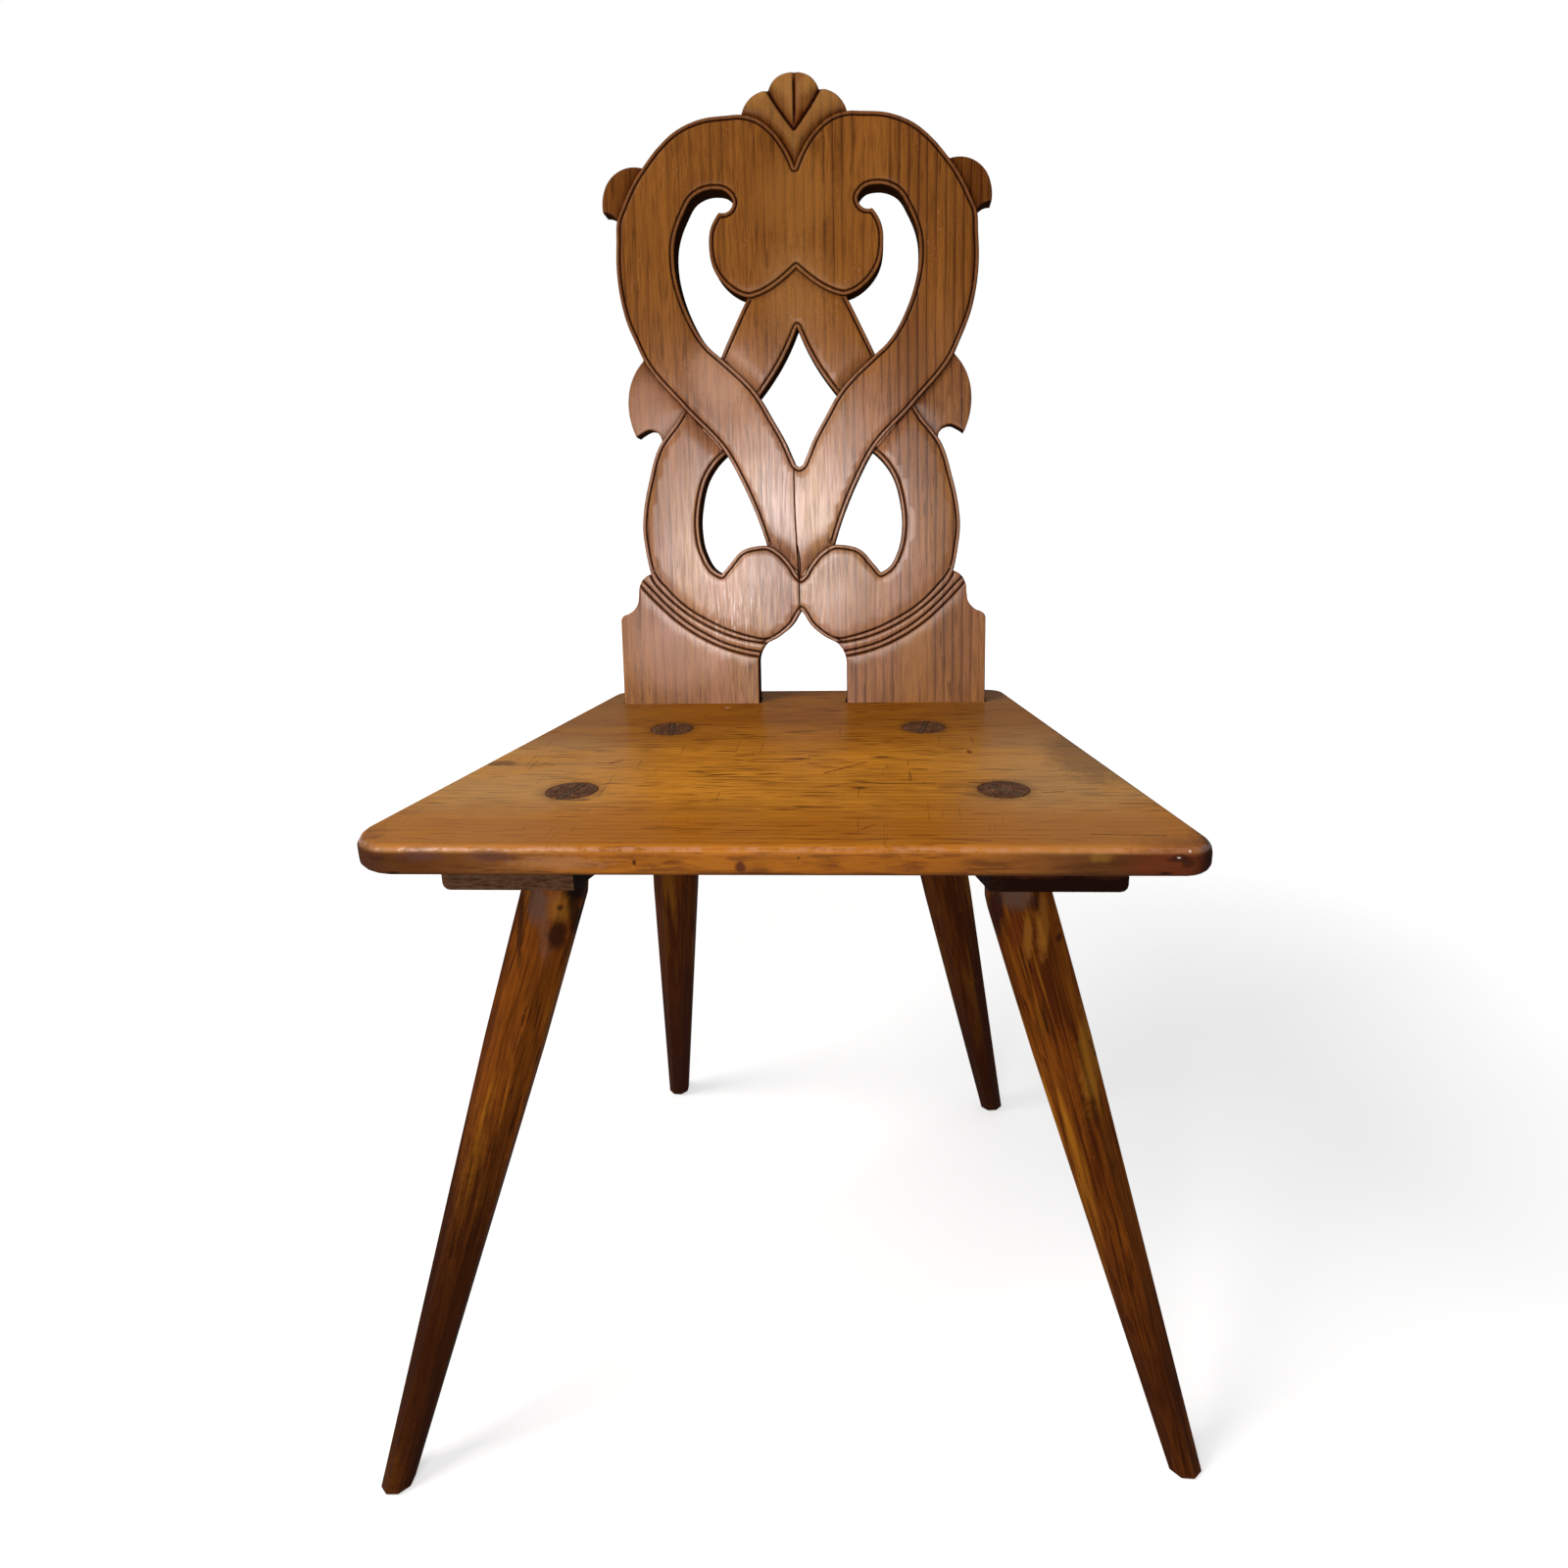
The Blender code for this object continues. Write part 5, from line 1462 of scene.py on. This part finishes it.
    def placed(self, points: np.ndarray, depths: np.ndarray) -> np.ndarray:
        """Return places in the chair for points on the board and depths behind its face."""
        low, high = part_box("back_board")
        centre = 0.5 * (low.x + high.x)
        face_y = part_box("seat_board")[1].y - SIZES.back_setback
        up = points[:, 1] * MM
        back = depths * MM
        return np.column_stack([
            centre + points[:, 0] * MM,
            face_y + up * math.sin(SIZES.recline) + back * math.cos(SIZES.recline),
            SIZES.seat_top() + up * math.cos(SIZES.recline) - back * math.sin(SIZES.recline),
        ])

    def build(self) -> bpy.types.Object:
        """Model the board, dress it and let it stand for the CAD node."""
        self.draw()
        self.edges = self.strap_edges()
        self.plain = self.plain_edges()
        self.crack, self.splinter = self.stroke(CRACK), self.stroke(SPLINTER)
        self.vee = past_centre(self.stroke(CREST_VEE))
        self.beads = [self.stroke(line) for line in BEAD_LINES]
        self.cuts = [(line, self.bead_cut) for line in self.beads]
        self.cuts.append((self.vee, self.vee_cut))
        self.cuts.append((self.stroke(CREST_SEAM), self.seam_cut))
        loops = [self.outer_loop(), *self.openings(), *self.key_slots()]
        borders = np.concatenate(loops)
        extra = self.thinned(self.worked_points(), self.closest, borders)
        front, front_faces, front_rims = self.surface(loops, extra)
        height, *carving = self.relief(front)
        sparse = self.thinned(extra[::self.rear_share], self.rear_spacing, borders)
        rear, rear_faces, rear_rims = self.surface(loops, sparse)
        thickness = SIZES.back_thickness / MM
        shift = thickness * math.tan(SIZES.recline)
        lowered = np.zeros((len(rear), 2))
        for rim_numbers in rear_rims[-2:]:
            lowered[rim_numbers, 1] = shift
        vertices = np.concatenate([self.placed(front, -height),
                                   self.placed(rear + lowered, np.full(len(rear), thickness))])
        offset = len(front)
        faces = [tuple(tri) for tri in front_faces]
        faces += [tuple(index + offset for index in reversed(tri)) for tri in rear_faces]
        for near, far in zip(front_rims, rear_rims):
            for index in range(len(near)):
                following = (index + 1) % len(near)
                faces.append((near[index], far[index] + offset, far[following] + offset, near[following]))
        mesh = bpy.data.meshes.new("carved_back")
        mesh.from_pydata([tuple(vertex) for vertex in vertices], [], faces)
        # Dirt with painted shade, painted rim highlight and painted shade in the colour, painted golden
        # highlight in the alpha.
        marks = mesh.attributes.new("carving", "FLOAT_COLOR", "POINT")
        values = np.zeros((len(vertices), 4), np.float32)
        values[:offset] = np.column_stack(carving)
        marks.data.foreach_set("color", values.ravel())
        obj = add_object("carved_back", mesh)
        with editing(obj):
            bpy.ops.mesh.select_all(action="SELECT")
            bpy.ops.mesh.normals_make_consistent(inside=False)
        shade_smooth(obj, 40.0)
        mesh.materials.append(self.finish.build())
        install(obj, "back_board")
        return obj


@dataclass
class SeatPlank:
    """The seat plank, its arrises worn round and most of all at the two front corners."""

    finish: SeatFinish
    ring: float = 0.0012
    rings: int = 5
    top_round: float = 0.0032
    bottom_round: float = 0.0013
    corner_round: float = 0.0040
    corner_reach: float = 0.032
    side_rings: tuple = (0.0045, 0.0056, 0.0067, 0.0079, 0.0091, 0.0103, 0.0115, 0.0127, 0.0139)
    outline_ring: float = 0.0091
    unevenness: float = 0.0007
    waviness: float = 45.0

    def build(self) -> bpy.types.Object:
        """Model the plank, dress it and let it stand for the CAD node."""
        obj = merged_copy("seat_board", "worn_seat_plank")
        self.cut_rings(obj)
        self.wear(obj)
        shade_smooth(obj, 35.0)
        obj.data.materials.append(self.finish.build())
        install(obj, "seat_board")
        return obj

    def cut_rings(self, obj: bpy.types.Object) -> None:
        """Cut level rings into the sides and rings into top and underside, for the wear to bend."""
        top = SIZES.seat_top()
        with editing(obj):
            for step in self.side_rings:
                bpy.ops.mesh.select_all(action="SELECT")
                bpy.ops.mesh.bisect(plane_co=(0.0, 0.0, top - step), plane_no=(0.0, 0.0, 1.0))
            bpy.ops.mesh.select_all(action="DESELECT")
        bpy.context.tool_settings.mesh_select_mode = (False, False, True)
        for level, facing in ((top, 1.0), (top - SIZES.seat_thickness, -1.0)):
            for polygon in obj.data.polygons:
                flat = polygon.normal.z * facing > 0.999
                polygon.select = flat and abs(polygon.center.z - level) < 1e-5
            with editing(obj):
                for _ in range(self.rings):
                    bpy.ops.mesh.inset(thickness=self.ring, depth=0.0, use_boundary=True,
                                       use_even_offset=True)
                bpy.ops.mesh.select_all(action="DESELECT")

    def wear(self, obj: bpy.types.Object) -> None:
        """Pull in whatever stands outside the worn rounding of the top and bottom arrises."""
        top = SIZES.seat_top()
        bottom = top - SIZES.seat_thickness
        places = np.array([tuple(vertex.co) for vertex in obj.data.vertices])
        side = places[np.abs(places[:, 2] - top + self.outline_ring) < 1e-5][:, :2]
        hull = side[np.array(convex_hull_2d([Vector(point) for point in side]))]
        starts, steps = hull, np.roll(hull, -1, axis=0) - hull
        lengths = np.linalg.norm(steps, axis=1)
        inward = np.column_stack([-steps[:, 1], steps[:, 0]]) / lengths[:, None]
        away = places[:, None, :2] - starts[None]
        gaps = (away * inward[None]).sum(2)
        nearest = np.argmin(gaps, axis=1)
        gap = np.maximum(gaps[np.arange(len(gaps)), nearest], 0.0)
        front = places[:, 1].min()
        front_x = side[side[:, 1] < front + 0.03][:, 0]
        near = [np.hypot(places[:, 0] - x, places[:, 1] - front) for x in (front_x.min(), front_x.max())]
        corner = self.corner_round * np.exp(-(np.min(near, axis=0) / self.corner_reach) ** 2)
        waves = np.array([noise.noise(Vector(place) * self.waviness) for place in places])
        uneven = self.unevenness * waves
        for level, facing, radius in ((top, -1.0, self.top_round), (bottom, 1.0, self.bottom_round)):
            reach = radius + corner + uneven
            depth = facing * (places[:, 2] - level)
            share = np.column_stack([reach - gap, reach - depth]) / reach[:, None]
            length = np.linalg.norm(share, axis=1)
            outside = (share[:, 0] > 0) & (share[:, 1] > 0) & (length > 1.0) & (depth > -1e-6)
            pulled = share[outside] / length[outside, None]
            new_gap = reach[outside] * (1.0 - pulled[:, 0])
            new_depth = reach[outside] * (1.0 - pulled[:, 1])
            places[outside, :2] += inward[nearest[outside]] * (new_gap - gap[outside])[:, None]
            places[outside, 2] = level + facing * new_depth
            gap[outside] = new_gap
        obj.data.vertices.foreach_set("co", places.astype(np.float32).ravel())
        obj.data.update()


@dataclass
class Leg:
    """One shaved leg with soft arrises, a worn foot and a dark tenon end."""

    node: str
    arris: float = 0.0022
    sole_round: float = 0.0065
    seed: float = 0.0

    def build(self, finish: bpy.types.Material, tenon_finish: bpy.types.Material) -> bpy.types.Object:
        """Model the leg, dress it and let it stand for the CAD node.

        Args:
            finish: Material of the shaved wood.
            tenon_finish: Material of the tenon's cut end.

        Returns:
            The finished piece.
        """
        obj = merged_copy(self.node, f"shaved_{self.node}")
        self.wear_sole(obj)
        soften(obj, self.arris, 3, 30.0)
        self.mark_length(obj)
        shade_smooth(obj, 30.0)
        obj.data.materials.append(finish)
        obj.data.materials.append(tenon_finish)
        top = SIZES.seat_top() - MM
        for polygon in obj.data.polygons:
            if polygon.center.z > top:
                polygon.material_index = 1
        install(obj, self.node)
        return obj

    def wear_sole(self, obj: bpy.types.Object) -> None:
        """Wear the edge of the sole round."""
        bpy.context.tool_settings.mesh_select_mode = (False, True, False)
        corners = obj.data.vertices
        for edge in obj.data.edges:
            edge.select = all(corners[index].co.z < 0.5 * MM for index in edge.vertices)
        with editing(obj):
            bpy.ops.mesh.bevel(offset=self.sole_round, segments=5, affect="EDGES", clamp_overlap=True)

    def mark_length(self, obj: bpy.types.Object) -> None:
        """Store each vertex's place along and across the leg for its grain."""
        places = np.array([tuple(vertex.co) for vertex in obj.data.vertices])
        foot = Vector(places[places[:, 2] < 3 * MM].mean(axis=0))
        top = Vector(places[places[:, 2] > SIZES.seat_top() - MM].mean(axis=0))
        turn = (top - foot).rotation_difference(Vector((0.0, 0.0, 1.0))).to_matrix()
        marks = obj.data.attributes.new("along_leg", "FLOAT_VECTOR", "POINT")
        for vertex, mark in zip(obj.data.vertices, marks.data):
            mark.vector = turn @ (vertex.co - foot) + Vector((self.seed, 0.37 * self.seed, 0.0))


@dataclass
class SoftPiece:
    """A CAD piece that only gets soft arrises and a finish."""

    node: str
    name: str
    slot: str
    arris: float
    segments: int = 2

    def build(self, finish: bpy.types.Material) -> bpy.types.Object:
        """Round the piece, dress it and let it stand for the CAD node."""
        obj = merged_copy(self.node, self.name)
        soften(obj, self.arris, self.segments, 40.0)
        shade_smooth(obj, 35.0)
        obj.data.materials.append(finish)
        install(obj, self.node)
        return obj


@dataclass
class Studio:
    """White floor, soft lamps, pale world and the camera of the photograph."""

    lens: float = 24.218
    shift_x: float = -0.0245
    shift_y: float = -0.0329
    place: tuple = (0.05868, -0.71882, 0.65093)
    yaw: float = 0.056
    pitch: float = 0.281
    roll: float = 0.020
    room_light: float = 0.28
    floor_glow: float = 0.55

    def camera(self) -> None:
        """Set the camera at the photograph's viewing angle."""
        data = bpy.data.cameras.new("photo_camera")
        data.sensor_width = 36.0
        data.lens = self.lens
        data.shift_x = self.shift_x
        data.shift_y = self.shift_y
        data.clip_start = 0.05
        data.clip_end = 50.0
        camera = add_object("photo_camera", data)
        camera.matrix_world = Matrix.Translation(self.place)
        for angle, axis in ((self.yaw, "Z"), (0.5 * math.pi - self.pitch, "X"), (-self.roll, "Z")):
            camera.matrix_world @= Matrix.Rotation(angle, 4, axis)
        bpy.context.scene.camera = camera

    @staticmethod
    def seen(g: Graph) -> bpy.types.NodeSocket:
        """Return 1 for the rays of the camera, of mirrors and of glass, and 0 for all others."""
        path = g.node("LightPath")
        seen = g.math("MAXIMUM", path.outputs["Is Camera Ray"], path.outputs["Is Glossy Ray"])
        return g.math("MAXIMUM", seen, path.outputs["Is Transmission Ray"])

    def world(self) -> None:
        """Light the room evenly and show it white."""
        world = bpy.data.worlds.new("pale_room")
        bpy.context.scene.world = world
        world.use_nodes = True
        g = Graph(world.node_tree)
        room = world.node_tree.nodes["Background"]
        g.feed(room, {"Color": (0.97, 0.98, 1.0), "Strength": self.room_light})
        white = g.node("Background", {"Color": WHITE, "Strength": 1.0})
        mixed = g.node("MixShader", {0: self.seen(g), 1: room.outputs[0], 2: white.outputs[0]})
        g.feed(world.node_tree.nodes["World Output"], {"Surface": mixed.outputs[0]})

    def floor(self) -> None:
        """Lay the pale floor, white to the camera but for the chair's shadow."""
        deselect_all()
        bpy.ops.mesh.primitive_plane_add(size=16.0, location=(0.0, 0.0, 0.0))
        floor = bpy.context.active_object
        floor.name = "pale_floor"
        material, g, shader = start_material("pale_floor")
        reach = g.vectors("LENGTH", {0: g.where()}, "Value")
        glow = g.span(reach, 0.6, 1.7, self.floor_glow, 1.0)
        g.feed(shader, {"Base Color": (0.72, 0.72, 0.72), "Roughness": 1.0, "Specular IOR Level": 0.0,
                        "Emission Color": WHITE, "Emission Strength": g.times(glow, self.seen(g))})
        floor.data.materials.append(material)

    @staticmethod
    def lamp(name: str, place: tuple, aim: tuple, size: tuple, power: float, colour: tuple) -> None:
        """Hang one soft oblong lamp.

        Args:
            name: Name of the lamp.
            place: Where it hangs.
            aim: The point it faces.
            size: Its width and height.
            power: Its power in watts.
            colour: Its colour.
        """
        data = bpy.data.lights.new(name, "AREA")
        data.shape = "RECTANGLE"
        data.size, data.size_y = size
        data.energy = power
        data.color = colour
        heading = Vector(aim) - Vector(place)
        turn = heading.to_track_quat("-Z", "Y").to_matrix().to_4x4()
        add_object(name, data).matrix_world = Matrix.Translation(place) @ turn

    def build(self) -> None:
        """Set up the whole studio."""
        self.camera()
        self.world()
        self.floor()
        self.lamp("left_window", (-1.9, -1.3, 2.3), (0.0, 0.0, 0.45), (1.3, 1.3), 60.0, (1.0, 0.98, 0.95))
        self.lamp("front_window", (-0.29, -2.3, 0.98), (0.0, 0.1, 0.58), (0.78, 0.52), 26.0,
                  (1.0, 0.94, 0.92))
        bpy.context.scene.view_settings.view_transform = "Standard"


def main() -> None:
    """Build the studio and every piece of the chair."""
    logging.basicConfig(level=logging.INFO, format="%(message)s")
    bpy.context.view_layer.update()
    Studio().build()
    effects = SharedEffects()
    CarvedBack(BackFinish(effects)).build()
    SeatPlank(SeatFinish(effects)).build()
    leg_wood = LegFinish(effects).build()
    tenon_wood = TenonEndFinish(effects).build()
    for number, node in enumerate(LEGS):
        Leg(node, seed=0.31 * (number + 1)).build(leg_wood, tenon_wood)
    along_y, along_z = (math.radians(-90.0), 0.0, 0.0), (0.0, 0.0, 0.0)
    batten_marks = (
        # Painted shade: near black over the right batten, under the seat.
        Mark((0.17, -0.148, 0.405), (0.085, 0.10, 0.05), (0.0080, 0.0016, 0.0007), 0.97, 0.5),
        Mark((0.1500, -0.148, 0.4000), (0.030, 0.03, 0.0030), (0.070, 0.018, 0.006), 0.6, 1.8),
        Mark((0.1900, -0.148, 0.3990), (0.014, 0.03, 0.0030), (0.050, 0.015, 0.006), 0.5, 1.8),
    )
    batten_tones = Wood((0.130, 0.052, 0.024), (0.055, 0.020, 0.009), (0.015, 0.006, 0.003))
    batten_wood = DullFinish(effects, "dull_batten_wood", batten_tones, (0.105, 0.050, 0.026), along_y, "Y",
                             side=(0.006, 0.003, 0.002), marks=batten_marks).build()
    key_tones = Wood((0.20, 0.11, 0.055), (0.10, 0.050, 0.024), (0.03, 0.015, 0.008))
    key_wood = DullFinish(effects, "dull_key_wood", key_tones, (0.16, 0.10, 0.06), along_y, "Y").build()
    wedge_tones = Wood((0.11, 0.060, 0.034), (0.045, 0.022, 0.012), (0.015, 0.008, 0.005))
    wedge_wood = DullFinish(effects, "wedge_end_wood", wedge_tones, (0.12, 0.07, 0.04), along_z,
                            "Z").build()
    for side in ("left", "right"):
        SoftPiece(f"{side}_batten", f"soft_{side}_batten", "batten_wood", 0.0012).build(batten_wood)
    for side in ("left", "right"):
        SoftPiece(f"{side}_back_key", f"soft_{side}_key", "key_wood", 0.0008).build(key_wood)
    for leg in LEGS:
        wedge = leg.replace("leg", "wedge")
        SoftPiece(wedge, f"driven_{wedge}", "wedge_wood", 0.0001, 1).build(wedge_wood)


if __name__ == "__main__":
    main()
